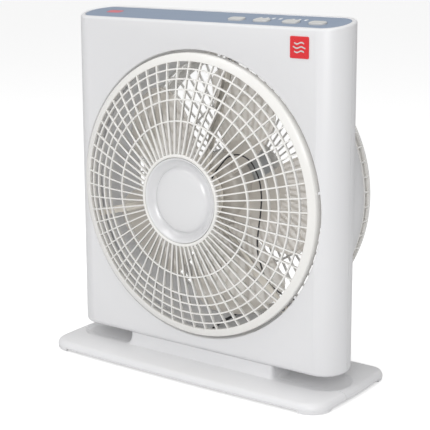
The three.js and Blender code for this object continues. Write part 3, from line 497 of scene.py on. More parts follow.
# %% The carving helper
def carved(bm, cutter):
    """The mesh in bm without the space taken by the cutter."""
    helpers = []
    for label, source in (("block", bm), ("plug", cutter)):
        bmesh.ops.remove_doubles(source, verts=source.verts, dist=0.002)
        bmesh.ops.recalc_face_normals(source, faces=source.faces)
        mesh = bpy.data.meshes.new(label)
        source.to_mesh(mesh)
        source.free()
        helpers.append(bpy.data.objects.new(label, mesh))
        bpy.context.scene.collection.objects.link(helpers[-1])
    cut = helpers[0].modifiers.new("cut", "BOOLEAN")
    cut.operation, cut.solver, cut.object = "DIFFERENCE", "EXACT", helpers[1]
    result = bmesh.new()
    shaped = helpers[0].evaluated_get(bpy.context.evaluated_depsgraph_get())
    result.from_mesh(shaped.to_mesh())
    shaped.to_mesh_clear()
    for helper in helpers:
        bpy.data.objects.remove(helper)
    open_edges = sum(1 for e in result.edges if len(e.link_faces) != 2)
    print("carved:", len(result.faces), "faces,", open_edges, "open edges")
    return result


# %% [markdown]
# ## Front shell
# The front shell carries the round opening that the louvre turns in. Its edge is only just broken,
# and behind it a short duct leads to the wheel. A shallow groove at the back end of the duct leaves
# the dark line where the two ducts face each other.

# %% Front shell
bm = body_skin()
closed_half(bm, SEAM_Y - 0.2, 1)
plug = bmesh.new()
turned(plug, [(0, -60), (176, -60), (173.5, -36.3), (172.8, -35.9), (172.3, -35.4), (172, -34.8), (172, -9),
              (176, -9), (176, -3), (0, -3)], steps=144, closed=False)
bm = carved(bm, plug)
front_shell = finished(bm, "front_shell", "body", white, ["front_housing"])

# %% Lugs and small catches inside the opening
bm = bmesh.new()
for angle in (75, 195, 315):
    about_axis(bm, block(bm, 163, 172.4, -21.6, -14, AXIS_Z - 4.5, AXIS_Z + 4.5), angle)
for angle in (-35.5, 8.3, 78.6):
    about_axis(bm, block(bm, 169.5, 172.4, -35.2, -32.4, AXIS_Z - 1.6, AXIS_Z + 1.6), angle)
duct_lugs = finished(bm, "duct_lugs", "body", white)

# %% [markdown]
# ## Rear shell
# The rear shell has the longer duct, which runs out into a tapered collar for the guard. A finger
# recess near the top lets the fan be lifted, four deep holes hold the shell screws, and the mains
# gland sits low in a corner. Each of these is a small plug that is carved out with the big one.

# %% Rear shell
def rear_plug(bm, x, z, width, height, radius, depth, segments=6):
    before = set(bm.verts)
    loops = [ring(bm, x - width / 2 - flare, x + width / 2 + flare, z - height / 2 - flare, z + height / 2 + flare,
                  radius + flare, radius + flare, out, segments)
             for flare, out in ((0, depth), (0, 0.7), (0.25, 0.25), (0.8, 0), (0.8, -2))]
    stack(bm, loops)
    cap(bm, loops[0])
    cap(bm, loops[-1])
    made = [v for v in bm.verts if v not in before]
    bmesh.ops.rotate(bm, cent=(0, 0, 0), matrix=Matrix.Rotation(math.radians(90), 3, "X"), verts=made)
    bmesh.ops.translate(bm, vec=(0, REAR_Y, 0), verts=made)


bm = body_skin()
closed_half(bm, SEAM_Y + 0.2, -1)
plug = bmesh.new()
turned(plug, [(0, -8), (172, -8), (172, 24), (171.2, 30), (0, 30)], steps=144, closed=False)
rear_plug(plug, 0, 402.5, 110, 16, 7.6, 14, 8)
for x in (-163, 163):
    for z in (47, 392):
        rear_plug(plug, x, z, 7.6, 7.6, 3.79, 9.8)
rear_plug(plug, 140, 48, 13.2, 13.2, 6.59, 7.4, 8)
bm = carved(bm, plug)
turned(bm, [(172, 18), (176.2, 18), (176.4, 26.4), (171.0, 60.6), (170.4, 61.6), (169.2, 62), (168.0, 61.7),
            (167.4, 60.8), (172, 24)], steps=180)
rear_shell = finished(bm, "rear_shell", "body", white, ["rear_housing"])

# %% Guard lugs inside the collar
bm = bmesh.new()
for angle in (90, 210, 330):
    about_axis(bm, block(bm, 158.5, 168.4, 52, 62, AXIS_Z - 5, AXIS_Z + 5, 0.8), angle)
guard_lugs = finished(bm, "guard_lugs", "body", white)

# %% [markdown]
# ## Control panel
# The panel is one thin moulding that lies in the pocket, a hair below the rim. It has a window for
# each button, one for each light and a shallow seat for the coloured mark. It is drawn flat as
# outlines at a few depths that are stacked into a thin plate, filled round its windows, and then
# tilted onto the slope together with the buttons.

# %% Panel
BUTTON_X = {"power": 41.5, "speed": 76.0, "timer": 115.0, "louvre": 149.5}
PIP_X = (65.4, 74.3, 83.6, 92.9, 108.8, 117.6, 126.7)


def slope_v(y):
    return (y - FRONT_Y) / math.cos(TILT)


def pill(bm, x, y, width, depth, radius, w, segments=6):
    v = slope_v(y)
    return ring(bm, x - width / 2, x + width / 2, v - depth / 2, v + depth / 2, radius, radius, w, segments)


def panel_ring(bm, inset, w):
    v0, v1 = slope_v(FRONT_Y + inset), slope_v(REAR_Y - inset)
    return ring(bm, -HALF_W + inset, HALF_W - inset, v0, v1, (v1 - v0) / 2 - 0.01, (v1 - v0) / 2 - 0.01, w,
                20, (v1 - v0) / 2 / (END_X - inset))


bm = bmesh.new()
loops = [panel_ring(bm, 5.95, -2.5), panel_ring(bm, 5.95, -0.75), panel_ring(bm, 6.05, -0.5),
         panel_ring(bm, 6.4, -0.35), panel_ring(bm, 7.2, -0.3)]
stack(bm, loops)
upper, lower = list(loops[-1]), list(loops[0])
for x in BUTTON_X.values():
    window = [pill(bm, x, -11, 21.6, 14.6, 5.5, -0.3), pill(bm, x, -11, 20.9, 13.9, 5.2, -0.65),
              pill(bm, x, -11, 20.9, 13.9, 5.2, -2.5)]
    stack(bm, window)
    upper += window[0]
    lower += window[-1]
for x in PIP_X:
    window = [pill(bm, x, 2, 3.6, 6.4, 0.6, -0.3, 2), pill(bm, x, 2, 3.6, 6.4, 0.6, -2.5, 2)]
    stack(bm, window)
    upper += window[0]
    lower += window[-1]
seat = [pill(bm, -147, -3, 22.8, 12.8, 4.4, -0.3), pill(bm, -147, -3, 22.8, 12.8, 4.4, -1.2)]
stack(bm, seat)
cap(bm, seat[1])
fill(bm, upper + seat[0])
fill(bm, lower)
top_panel = finished(bm, "top_panel", "body", panel_blue, ["control_panel"], place=ON_TOP)

# %% Mark and light windows
bm = bmesh.new()
loops = [pill(bm, -147, -3, 22.2 - 2 * i, 12.2 - 2 * i, 4.2 - i, w)
         for i, w in ((0, -1.1), (0, -0.5), (0.15, -0.3), (0.5, -0.2), (2.5, -0.15))]
stack(bm, loops)
cap(bm, loops[0])
cap(bm, loops[-1])
finished(bm, "panel_spot", "body", soft_red, ["panel_mark"], place=ON_TOP)

bm = bmesh.new()
for x in PIP_X:
    loops = [pill(bm, x, 2, 3.2 - 2 * i, 6.0 - 2 * i, 0.55, w, 3)
             for i, w in ((0, -7), (0, -0.35), (0.1, -0.2), (0.35, -0.1))]
    stack(bm, loops)
    cap(bm, loops[0])
    cap(bm, loops[-1])
block(bm, 61, 131, slope_v(2) - 2.6, slope_v(2) + 2.6, -8.6, -6.2)
finished(bm, "light_windows", "body", clear, ["light_guide"], place=ON_TOP)

# %% [markdown]
# ## Push buttons
# Each button is a cap with a slightly dished top, a flange that stops it under the panel and a stem
# that meets its switch. The four are alike and each rides on its own body, so that each can be
# pressed by itself.

# %% Buttons
for key, x in BUTTON_X.items():
    bm = bmesh.new()
    steps = ((-1.5, -7.0), (-1.5, -5.8), (0.0, -5.8), (0.0, 0.7), (0.12, 1.15), (0.45, 1.45), (1.0, 1.6),
             (2.2, 1.45), (4.2, 1.25))
    loops = [pill(bm, x, -11, 20 - 2 * i, 13 - 2 * i, max(4.7 - i, 1.2), w) for i, w in steps]
    stack(bm, loops)
    cap(bm, loops[0])
    cap(bm, loops[-1])
    block(bm, x - 2.5, x + 2.5, slope_v(-11) - 2.5, slope_v(-11) + 2.5, -8.4, -6.8)
    finished(bm, f"{key}_key_cap", f"{key}_key", button_white, [f"{key}_button"], place=ON_TOP,
             sharp=50)

# %% [markdown]
# ## Badge
# A small red plate is stuck on the front. Makers print their own mark on such a plate; this one
# carries three plain breeze lines. The lines are thin bars with rounded ends, bent along a wave.

# %% Badge
BADGE = Matrix.Translation((142.5, FRONT_Y, 397.5)) @ Matrix.Rotation(math.radians(90), 4, "X")
bm = bmesh.new()
loops = [ring(bm, -12 + i, 12 - i, -12 + i, 12 - i, 1.5 - i, 1.5 - i, out, 5)
         for i, out in ((0, 0.1), (0, 0.7), (0.1, 0.9), (0.4, 1.0), (1.0, 1.02))]
stack(bm, loops)
cap(bm, loops[0])
cap(bm, loops[-1])
finished(bm, "badge_plate", "body", signal_red, ["badge"], place=BADGE)

bm = bmesh.new()
for row, half in ((4.6, 6.4), (0.0, 8.0), (-4.6, 6.4)):
    edges = ring(bm, -half, half, row - 0.75, row + 0.75, 0.74, 0.74, 0.9, 4)
    longest = sorted(edges, key=lambda e: e.calc_length())[-2:]
    bmesh.ops.subdivide_edges(bm, edges=longest, cuts=15)
    near = [v for v in bm.verts if abs(v.co.y - row) < 1]
    for v in near:
        v.co.y += 0.9 * math.sin(v.co.x * 0.55)
    line = list({e for v in near for e in v.link_edges})
    raised = bmesh.ops.extrude_edge_only(bm, edges=line)["geom"]
    bmesh.ops.translate(bm, vec=(0, 0, 0.35), verts=[g for g in raised if isinstance(g, bmesh.types.BMVert)])
    fill(bm, [g for g in raised if isinstance(g, bmesh.types.BMEdge) and all(v.co.z > 1.2 for v in g.verts)])
    fill(bm, line)
finished(bm, "badge_breeze", "body", button_white, place=BADGE)

# %% [markdown]
# ## Louvre
# The louvre is one moulding: sixty slim ribs run from the hub ring to the rim, and five thin rings
# tie them together. It bulges forwards like a shallow dome. A rib is drawn once and repeated about
# the axis, and each ring is turned from a small section with a rounded crown and a narrow keel.

# %% Louvre grille
RINGS = [(91.9, 25.3), (116.2, 19.9), (127.4, 16.8), (139.1, 13.8), (150.6, 10.1)]


def crown(r, y, half, depth):
    """A small rounded section for a turned ring, crown towards the front."""
    return [(r - half, y + 0.9), (r - 0.7 * half, y + 0.25), (r, y), (r + 0.7 * half, y + 0.25),
            (r + half, y + 0.9), (r + 0.45 * half, y + depth), (r - 0.45 * half, y + depth)]


bm = bmesh.new()
path = [(52.6, 31.8)] + RINGS + [(160.2, 6.6)]
section = [(path[0][0], FRONT_Y - path[0][1] + d, AXIS_Z + t)
           for t, d in ((-0.9, 0.8), (-0.62, 0.22), (0, 0), (0.62, 0.22), (0.9, 0.8), (0.45, 4.4), (-0.45, 4.4))]
moves = [(b[0] - a[0], a[1] - b[1], 0) for a, b in zip(path, path[1:])]
rib = bar(bm, section, moves)
about_axis(bm, rib, 0.9)
repeat_about_axis(bm, rib, 60)
for r, lift in RINGS:
    turned(bm, crown(r, FRONT_Y - lift, 1.0, 4.4), steps=180)
turned(bm, [(50.4, -66.2), (50.9, -67.3), (51.9, -67.9), (53.2, -67.8), (54.1, -67.0), (54.4, -65.8),
            (54.2, -63.4), (50.5, -63.4)], steps=120)
turned(bm, [(158.8, -42.3), (159.3, -42.9), (160.3, -42.8), (166.6, -40.2), (167.8, -39.5), (168.4, -38.3),
            (168.6, -36.5), (168.6, -29.6), (166.3, -29.6), (165.9, -36.2), (159.4, -38.6), (158.8, -39.2)],
       steps=180)
louvre = finished(bm, "louvre_lattice", "louvre", lattice, ["louvre_grille"])

# %% Hub cap: a dish with a domed boss
bm = bmesh.new()
turned(bm, [(0, -67.3), (10, -67.2), (20, -66.8), (28, -66.0), (33.5, -64.8), (36.8, -63.0), (38.4, -60.6),
            (39.2, -58.6), (40.4, -57.8), (42.2, -58.4), (44.6, -60.6), (46.6, -63.4), (48.0, -66.0), (49.0, -67.1),
            (49.8, -67.0), (50.1, -65.8), (48.8, -61.6), (42, -55.6), (8, -56), (8, -49), (0, -49)], steps=96,
       closed=False)
hub = finished(bm, "louvre_hub", "louvre", hub_white, ["louvre_hub_cap"], sharp=60)

# %% [markdown]
# ## Behind the louvre
# A three-armed cross sits just behind the louvre and carries its small motor, and a thin black lead
# runs from there to the terminals. They only show between the ribs, but they give the opening its
# depth, so they are rounded and finished like the rest.

# %% Cross, louvre motor and lead
bm = bmesh.new()
turned(bm, [(0, -29.6), (32.6, -29.6), (33.8, -29.1), (34, -28.2), (34, -26.4), (0, -26.4)], steps=72, closed=False)
for angle in (75, 195, 315):
    arm = bar(bm, [(30, -29.4, AXIS_Z - 4.4), (30, -29.4, AXIS_Z + 4.4), (30, -26.6, AXIS_Z + 4.4), (30, -26.6, AXIS_Z - 4.4)],
              [(30, 0, 0), (80, 3, 0), (31.4, 0, 0)])
    rib = bar(bm, [(30, -27, AXIS_Z - 0.8), (30, -27, AXIS_Z + 0.8), (30, -21.5, AXIS_Z + 0.8), (30, -21.5, AXIS_Z - 0.8)],
              [(28, 0, 0), (72, 2, 0)])
    about_axis(bm, arm + rib, angle)
finished(bm, "inner_cross", "body", inside, ["louvre_cross"], sharp=25)

bm = bmesh.new()
turned(bm, [(0, -29.9), (25, -29.9), (25.8, -30.3), (26, -31), (26, -36.2), (26.5, -36.5), (26.5, -38), (26, -38.3),
            (26, -43), (25.7, -43.7), (25, -44), (8, -44), (7.2, -44.6), (7, -46), (0, -46)], steps=72, closed=False)
finished(bm, "small_motor", "body", motor_tin, ["louvre_motor"], sharp=25)

LOUVRE_LEAD = [(24, -40, 235), (36, -38, 254), (52, -34, 269), (68, -29, 267), (80, -26, 251), (86.5, -26, 230),
               (86, -26, 205), (82, -25, 180), (80, -23, 158), (84, -21, 140), (92, -20, 123), (107, -19, 113),
               (118.5, -15, 106.5), (121.5, -9, 104), (126, -6.9, 94), (132, -4, 80), (136, 2, 66)]
MOTOR_LEAD = [(0, 61, 167.2), (0, 66, 158), (0, 70, 140), (0, 72.5, 110), (0, 74, 80), (0, 71, 57.5), (0, 60, 51.8),
              (0, 40, 48.6), (0, 14, 46.5), (0, 2, 44), (-5, -1, 38.5), (-16, 1, 35), (-60, 4, 34), (-110, 2, 37),
              (-136, -2, 45)]


def wire(name, points, radius, material, node):
    """A round lead along a smooth line through the points, as a mesh."""
    curve = bpy.data.curves.new(name, "CURVE")
    curve.dimensions = "3D"
    curve.bevel_depth = radius * MM
    curve.bevel_resolution = 3
    curve.use_fill_caps = True
    curve.resolution_u = 10
    line = curve.splines.new("BEZIER")
    line.bezier_points.add(len(points) - 1)
    for knot, point in zip(line.bezier_points, points):
        knot.co = Vector(point) * MM
        knot.handle_left_type = knot.handle_right_type = "AUTO"
    helper = bpy.data.objects.new(name + "_line", curve)
    bpy.context.scene.collection.objects.link(helper)
    mesh = bpy.data.meshes.new_from_object(helper.evaluated_get(bpy.context.evaluated_depsgraph_get()))
    bpy.data.objects.remove(helper)
    piece = bpy.data.objects.new(name, mesh)
    bpy.context.scene.collection.objects.link(piece)
    mesh.materials.clear()
    mesh.materials.append(material)
    mesh.shade_smooth()
    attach(piece, "body")
    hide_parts(node)
    print(name, "has", len(mesh.vertices), "points")


wire("louvre_motor_wire", LOUVRE_LEAD, 0.9, black_wire, "louvre_lead")
wire("fan_motor_wire", MOTOR_LEAD, 1.7, black_wire, "motor_lead")

# %% [markdown]
# ## Fan wheel
# Five broad see-through blades grow out of a smooth hub. A blade starts as a flat grid. Each point
# is carried to its place: out along the radius, round by the chord, and back by the pitch, with a
# little camber. The sheet then gets its thickness and is repeated about the axis.

# %% Wheel
bm = bmesh.new()
sheet = bmesh.ops.create_grid(bm, x_segments=18, y_segments=20, size=1.0)["verts"]
for v in sheet:
    u, s = (v.co.x + 1) / 2, v.co.y
    r = 43.8 + (153 - 43.8) * u
    tip = max(0.0, (u - 0.72) / 0.28)
    spread = (26 + 5 * math.sin(math.pi * u) - 4 * u) * (1 - 0.13 * tip ** 3)
    r *= 1 - 0.06 * s * s * tip ** 2
    angle = math.radians(10 * u + spread * s)
    y = 5.5 + (16 - 3.5 * u) * s + 2.4 * (1 - s * s)
    v.co = (r * math.cos(angle), y, AXIS_Z + r * math.sin(angle))
bmesh.ops.recalc_face_normals(bm, faces=bm.faces)
bmesh.ops.solidify(bm, geom=bm.faces[:], thickness=1.9)
about_axis(bm, bm.verts[:], 63)
repeat_about_axis(bm, bm.verts[:], 5)
turned(bm, [(4.3, -14), (36, -14), (41, -13), (44, -11), (45, -8), (45, 24), (42.6, 24), (42.6, -8.4), (37, -11.4),
            (9, -11.4), (9, 22), (4.3, 22)], steps=80)
finished(bm, "fan_wheel", "fan", blade, ["impeller"], sharp=40)

bm = bmesh.new()
turned(bm, [(0, -24), (6, -23.9), (9, -23.3), (11.6, -22), (12.6, -20), (13, -14.4), (4.3, -14.4), (4.3, -20.4),
            (0, -20.4)], steps=48, closed=False)
finished(bm, "wheel_nut", "fan", inside, ["impeller_nut"], sharp=60)

# %% Motor covers
for name, node, sign, flat_y, edge_y in (("motor_shell_front", "motor_front_cover", 1, 26.6, 48.8),
                                         ("motor_shell_rear", "motor_rear_cover", -1, 70.0, 49.2)):
    bm = bmesh.new()
    turned(bm, [(11.4, flat_y), (20, flat_y), (22, flat_y + 0.8 * sign), (36, flat_y + 0.8 * sign),
                (42, flat_y + 0.6 * sign), (45.2, flat_y + 1.4 * sign), (47, flat_y + 3.6 * sign), (47, edge_y),
                (44.4, edge_y), (44.4, flat_y + 3.8 * sign), (42.6, flat_y + 2.6 * sign), (14, flat_y + 2.6 * sign),
                (14, flat_y + 10.8 * sign), (11.4, flat_y + 10.8 * sign)], steps=64)
    finished(bm, name, "body", cast, [node])

# %% [markdown]
# ## Rear guard
# The guard is a shallow basket of sixty straight bars. They fan out from a disc that holds the
# motor, cross one ring and end in a rounded outer band. From there short bars run forwards to the
# ring that is screwed to the collar, so that air can also enter from the side.

# %% Guard
bm = bmesh.new()
section = [(50, 77 - d, AXIS_Z + t)
           for t, d in ((-1.2, 0.9), (-0.8, 0.2), (0, 0), (0.8, 0.2), (1.2, 0.9), (0.6, 3.6), (-0.6, 3.6))]
spoke = bar(bm, section, [(55.5, 3.1, 0), (53.5, 2.8, 0)])
section = [(r, 66, AXIS_Z + t) for t, r in ((-1.2, 169.0), (-0.8, 169.7), (0.8, 169.7), (1.2, 169.0), (0.6, 167), (-0.6, 167))]
side = bar(bm, section, [(0, -1.6, 0), (0, 11.2, 0)])
about_axis(bm, spoke + side, 2.5)
repeat_about_axis(bm, spoke + side, 60)
turned(bm, [(104, 79.4), (104.5, 80.0), (105.5, 80.2), (106.5, 80.1), (107, 79.5), (106, 76.6), (105, 76.6)], steps=120)
turned(bm, [(157.6, 82.2), (158.6, 82.95), (163, 82.9), (166.6, 81.9), (168.7, 80.2), (169.5, 77.8), (169.7, 75.4),
            (166.5, 75.4), (166.2, 77.2), (164.5, 78.7), (158, 79.4)], steps=180)
turned(bm, [(169.9, 65.4), (170.3, 62.4), (167.1, 62.4), (166.8, 65.4)], steps=180)
turned(bm, [(16, 77), (52.6, 77.1), (53, 76.4), (53, 73.6), (16, 73.4)], steps=72)
for angle in (90, 210, 330):
    about_axis(bm, block(bm, 158.5, 168.6, 62.4, 65, AXIS_Z - 5, AXIS_Z + 5), angle)
finished(bm, "rear_basket", "body", lattice, ["rear_guard"])

bm = bmesh.new()
turned(bm, [(0, 83), (12, 82.98), (26, 82.85), (38, 82.3), (46, 81.2), (50.4, 79.4), (52, 77.3), (50, 77.3), (46, 79.4),
            (34, 80.8), (0, 81.2)], steps=80, closed=False)
finished(bm, "back_cap", "body", lattice, ["rear_cap"], sharp=60)

# %% [markdown]
# ## Base
# The base is a wide plate with round corners, a rolled-over rim and a front that bows out a little.
# Its top is sunk where the body stands over it, and a plinth with a flared foot rises from there to
# carry the body. It is stacked from outlines like the body, and cut in two on its own seam.

# %% Base plate
def base_ring(bm, inset, z):
    front, rear = max(24 - inset, 3), max(16 - inset, 3)
    half, y0, y1 = 202 - inset, -83 + inset, 77 - inset
    edges = ring(bm, -half, half, y0, y1, front, rear, z, 12)
    known = set(bm.edges) - set(edges)
    bmesh.ops.subdivide_edges(bm, edges=[e for e in edges if e.calc_length() > 60], cuts=11)
    edges = [e for e in bm.edges if e not in known]
    middle, depth = (y0 + y1) / 2, (y1 - y0) / 2
    for v in points_of(edges):
        across, along = v.co.x / half, (v.co.y - middle) / depth
        v.co.x -= math.copysign(abs(across) * 4 * along * along, v.co.x)
        if along < 0:
            v.co.y += 3.6 * across * across * -along
    return edges


def footprint(bm, grow, z):
    return body_ring(bm, -grow, z=z)


def plinth_ring(bm, grow, z):
    radius = 5 + grow / 2
    return ring(bm, -106 - grow, 106 + grow, -32.4 - grow, 24 + grow / 2, radius, radius, z, 6)


def base_skin():
    bm = bmesh.new()
    outer = [base_ring(bm, i, z) for i, z in ((4.4, 7.4), (4.0, 3.7), (1.4, 3.6), (0.4, 4.0), (0, 5.0), (0.1, 6.8),
                                              (0.6, 8.4), (1.4, 9.8), (2.4, 10.9), (3.6, 11.8), (5.0, 12.4),
                                              (6.0, 12.65))]
    stack(bm, outer)
    sunk = [footprint(bm, grow, z) for grow, z in ((3.4, 13.2), (2.8, 13.1), (2.0, 12.6), (0.6, 11.4), (-1.2, 10.7),
                                                   (-3.4, 10.5))]
    stack(bm, sunk)
    fill(bm, outer[-1] + sunk[0])
    plinth = [plinth_ring(bm, grow, z) for grow, z in ((7, 10.5), (5.6, 10.8), (4.2, 11.8), (2.6, 13.2), (1.3, 15.2),
                                                      (0.5, 18), (0, 22), (-0.3, 26.6), (-0.9, 27.2))]
    stack(bm, plinth)
    fill(bm, sunk[-1] + plinth[0])
    cap(bm, plinth[-1])
    hollow = [ring(bm, -103, 103, -29.4, 20.5, 3, 3, z, 3) for z in (7.4, 23.8)]
    stack(bm, hollow)
    cap(bm, hollow[-1])
    fill(bm, outer[0] + hollow[0])
    return bm


def skirt_reach(bm, side):
    """The rim reaches down round the corners: a walled strip, cut to the two corners on one side."""
    strip = bmesh.new()
    loops = [base_ring(strip, i, z) for i, z in ((4.2, 5.6), (4.2, 0.8), (2.0, 0.6), (1.0, 0.9), (0.5, 2.0), (0.3, 5.6))]
    stack(strip, loops)
    wall(strip, loops[-1], loops[0])
    bmesh.ops.recalc_face_normals(strip, faces=strip.faces)
    closed_half(strip, -52 if side > 0 else 56, side)
    for x in (-1, 1):
        corner = strip.copy()
        closed_half(corner, 172 * x, -x, along="x")
        mesh = bpy.data.meshes.new("corner")
        corner.to_mesh(mesh)
        corner.free()
        bm.from_mesh(mesh)
        bpy.data.meshes.remove(mesh)
    strip.free()


for name, node, side, y in (("base_plate_front", "base_front", 1, -23.3), ("base_plate_rear", "base_rear", -1, -22.7)):
    bm = base_skin()
    closed_half(bm, y, side)
    skirt_reach(bm, side)
    feet = [(-176, -54), (176, -54)] if side > 0 else [(-180, 50), (180, 50)]
    for x, foot_y in feet:
        before = set(bm.verts)
        turned(bm, [(0, -2.4), (13.4, -2.4), (14, -3), (14, -8.6), (0, -8.6)], steps=40, closed=False, z=0)
        boss = [v for v in bm.verts if v not in before]
        bmesh.ops.rotate(bm, cent=(0, 0, 0), matrix=Matrix.Rotation(math.radians(-90), 3, "X"), verts=boss)
        bmesh.ops.translate(bm, vec=(x, foot_y, 0), verts=boss)
    if side > 0:
        for x in (-157, -82, 76, 150):
            block(bm, x - 1.5, x + 1.5, -80.6 + x * x / 9000, -76, 2, 8, 0.3)
    finished(bm, name, "body", base_white, [node])

# %% [markdown]
# ## Feet, screws and gland
# Four rubber feet are pressed under the base. The screws are plain cross-head screws: a turned head
# and shank, with a cross pressed into the head. The gland is a short stepped sleeve in the rear
# shell, where the mains lead would come in.

# %% Feet
for name, x, y in (("foot_front_left", -176, -54), ("foot_front_right", 176, -54), ("foot_rear_left", -180, 50),
                   ("foot_rear_right", 180, 50)):
    bm = bmesh.new()
    turned(bm, [(0, 0), (11.2, 0), (12.2, -0.2), (12.9, -0.8), (13, -2), (0, -2)], steps=48, closed=False, z=0)
    bmesh.ops.rotate(bm, cent=(0, 0, 0), matrix=Matrix.Rotation(math.radians(-90), 3, "X"), verts=bm.verts)
    finished(bm, name.replace("foot", "pad"), "body", rubber, [name], place=Matrix.Translation((x, y, 0)))

# %% Screws: head at zero looking along -Z, shank along +Z, then put in place
def cross_head(name, node, place, head, deep, shank, length):
    bm = bmesh.new()
    turned(bm, [(0, 0.05), (head * 0.7, 0.05), (head * 0.95, 0.5), (head, 0.9), (head, deep), (shank, deep),
                (shank, length - 2), (0, length)], steps=28, closed=False, z=0)
    for turn, bottom in ((0, 1.1), (90, 1.06)):
        slot = bmesh.new()
        block(slot, -head * 0.55, head * 0.55, -0.6, bottom, -0.35, 0.35, 0.05)
        bmesh.ops.rotate(slot, cent=(0, 0, 0), matrix=Matrix.Rotation(math.radians(turn), 3, "Y"), verts=slot.verts)
        bm = carved(bm, slot)
    finished(bm, name, "body", steel, [node], place=place)


def facing(x, y, z, direction):
    """A place whose own +Y points along the direction."""
    return Matrix.Translation((x, y, z)) @ Vector(direction).to_track_quat("Y", "Z").to_matrix().to_4x4()


for index, (x, z) in enumerate([(-163, 47), (163, 47), (-163, 392), (163, 392)], 1):
    cross_head(f"shell_screw_{index}", f"housing_screw_{index}", facing(x, 18.4, z, (0, -1, 0)), 3.2, 2.1, 1.45, 36)
for index, angle in enumerate((90, 210, 330), 1):
    t = math.radians(angle)
    cross_head(f"basket_screw_{index}", f"guard_screw_{index}",
               facing(163 * math.cos(t), 67.3, AXIS_Z + 163 * math.sin(t), (0, -1, 0)), 3.0, 2.1, 1.4, 13)
for index, angle in enumerate((75, 195, 315), 1):
    t = math.radians(angle)
    cross_head(f"inner_screw_{index}", f"cross_screw_{index}",
               facing(167 * math.cos(t), -28.7, AXIS_Z + 167 * math.sin(t), (0, 1, 0)), 2.8, 2.0, 1.2, 12)
for index, (x, y) in enumerate([(-80, -26.5), (80, -26.5), (-80, 12), (80, 12)], 1):
    cross_head(f"plate_screw_{index}", f"base_screw_{index}", facing(x, y, 21.4, (0, 0, 1)), 2.6, 2.1, 1.35, 17)

# %% Gland
bm = bmesh.new()
turned(bm, [(3.4, 18.6), (8.6, 18.6), (8.6, 23), (6, 23), (6, 26.3), (8.5, 26.3), (8.6, 27), (8.2, 28.6), (7.6, 30.6),
            (6.8, 31), (4.2, 31), (3.4, 30.2)], steps=40, x=140, z=48)
finished(bm, "lead_gland", "body", dark, ["cord_gland"], sharp=40)

# %% [markdown]
# ## Finishes for the parts that keep their own shape
# The shafts, the rotor and its windings, the switches and the board keep the shape that they have
# in the frame. Each gets the finish that its real part would wear.

# %% Carried-over parts
for material, slot, names in (
        (dark, "dark_plastic", ["power_switch", "speed_switch", "timer_switch", "louvre_switch"]),
        (board_green, "board", ["control_board"]),
        (inside, "inner_plastic", ["louvre_shaft"]),
        (steel, "steel", ["motor_shaft", "motor_screw_1", "motor_screw_2"]),
        (sheets, "core_steel", ["motor_rotor", "motor_stator"]),
        (copper, "copper_wire", ["motor_winding_front", "motor_winding_rear"]),
        (bronze, "bearing_bronze", ["bearing_front", "bearing_rear"]),
        (can_blue, "capacitor_plastic", ["capacitor"]),
        (grey_wire, "grey_lead", ["supply_lead"])):
    for name in names:
        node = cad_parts[name]
        node.data.materials.clear()
        node.data.materials.append(material)
print("carried over:", sum(not node.hide_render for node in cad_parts.values()))

# %% [markdown]
# ## Floor, light and camera
# The fan stands on a plain pale floor in a bright room. One broad soft light comes from the front
# left and above, a weaker one from the right, and the room itself fills the rest, so that white
# plastic keeps its shape without hard shadows.

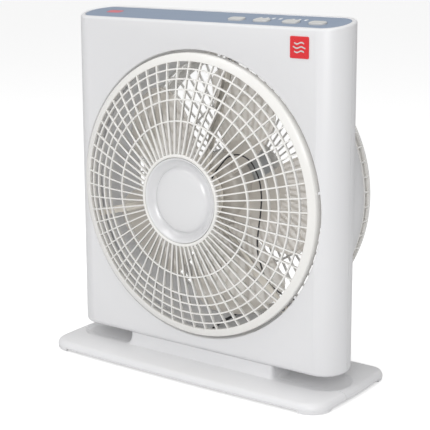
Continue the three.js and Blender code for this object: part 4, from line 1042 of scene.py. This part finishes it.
# %% Floor and room
bm = bmesh.new()
bmesh.ops.create_grid(bm, x_segments=1, y_segments=1, size=30)
mesh = bpy.data.meshes.new("floor")
bm.to_mesh(mesh)
bm.free()
floor = bpy.data.objects.new("floor", mesh)
floor.location.z = -0.0001
bpy.context.scene.collection.objects.link(floor)
floor_finish = bpy.data.materials.new("pale floor")
floor_finish.use_nodes = True
floor_shader = floor_finish.node_tree.nodes["Principled BSDF"]
floor_shader.inputs["Base Color"].default_value = (0.85, 0.85, 0.85, 1)
floor_shader.inputs["Roughness"].default_value = 0.9
floor_shader.inputs["Specular IOR Level"].default_value = 0.1
floor_shader.inputs["Emission Color"].default_value = (1, 1, 1, 1)
floor_path = floor_finish.node_tree.nodes.new("ShaderNodeLightPath")
floor_glow = maths(floor_finish.node_tree, "MULTIPLY", floor_path.outputs["Is Camera Ray"], 0.5)
floor_finish.node_tree.links.new(floor_glow, floor_shader.inputs["Emission Strength"])
mesh.materials.append(floor_finish)

room = bpy.data.worlds.new("room")
room.use_nodes = True
room.node_tree.nodes["Background"].inputs["Color"].default_value = (1.0, 1.0, 1.0, 1)
room_path = room.node_tree.nodes.new("ShaderNodeLightPath")
seen = maths(room.node_tree, "MULTIPLY", room_path.outputs["Is Camera Ray"], 0.46)
room_light = maths(room.node_tree, "ADD", seen, 0.5)
room.node_tree.links.new(room_light, room.node_tree.nodes["Background"].inputs["Strength"])
bpy.context.scene.world = room
bpy.context.scene.view_settings.view_transform = "Standard"
print("room light:", 0.5)


# %% Lamps and camera
def lamp(name, place, aim, size, power, tint=(1, 1, 1)):
    data = bpy.data.lights.new(name, "AREA")
    data.shape = "SQUARE"
    data.size = size
    data.energy = power
    data.color = tint
    light = bpy.data.objects.new(name, data)
    light.location = place
    light.rotation_mode = "QUATERNION"
    light.rotation_quaternion = (Vector(aim) - Vector(place)).to_track_quat("-Z", "Y")
    bpy.context.scene.collection.objects.link(light)


lamp("key", (-0.9, -1.6, 2.0), (0, 0, 0.2), 0.9, 5)
lamp("front fill", (0.9, -1.5, 0.9), (0, 0, 0.2), 0.8, 12)
lamp("top", (-0.1, -0.3, 2.3), (0, 0, 0.1), 1.1, 14)

lens = bpy.data.cameras.new("camera")
lens.lens = 1246.6 / 430 * 36
lens.sensor_width = 36
lens.shift_y = -0.1
lens.clip_start, lens.clip_end = 0.05, 100
camera = bpy.data.objects.new("camera", lens)
yaw, pitch, roll = (math.radians(a) for a in (36.296, 11.329, -0.13))
back = Vector((math.sin(yaw) * math.cos(pitch), -math.cos(yaw) * math.cos(pitch), math.sin(pitch)))
camera.rotation_mode = "QUATERNION"
camera.rotation_quaternion = (-back).to_track_quat("-Z", "Y") @ Matrix.Rotation(roll, 3, "Z").to_quaternion()
camera.location = (0.86434, -1.17346, 0.53006)
bpy.context.scene.collection.objects.link(camera)
bpy.context.scene.camera = camera
print("camera distance:", round(camera.location.length, 3))
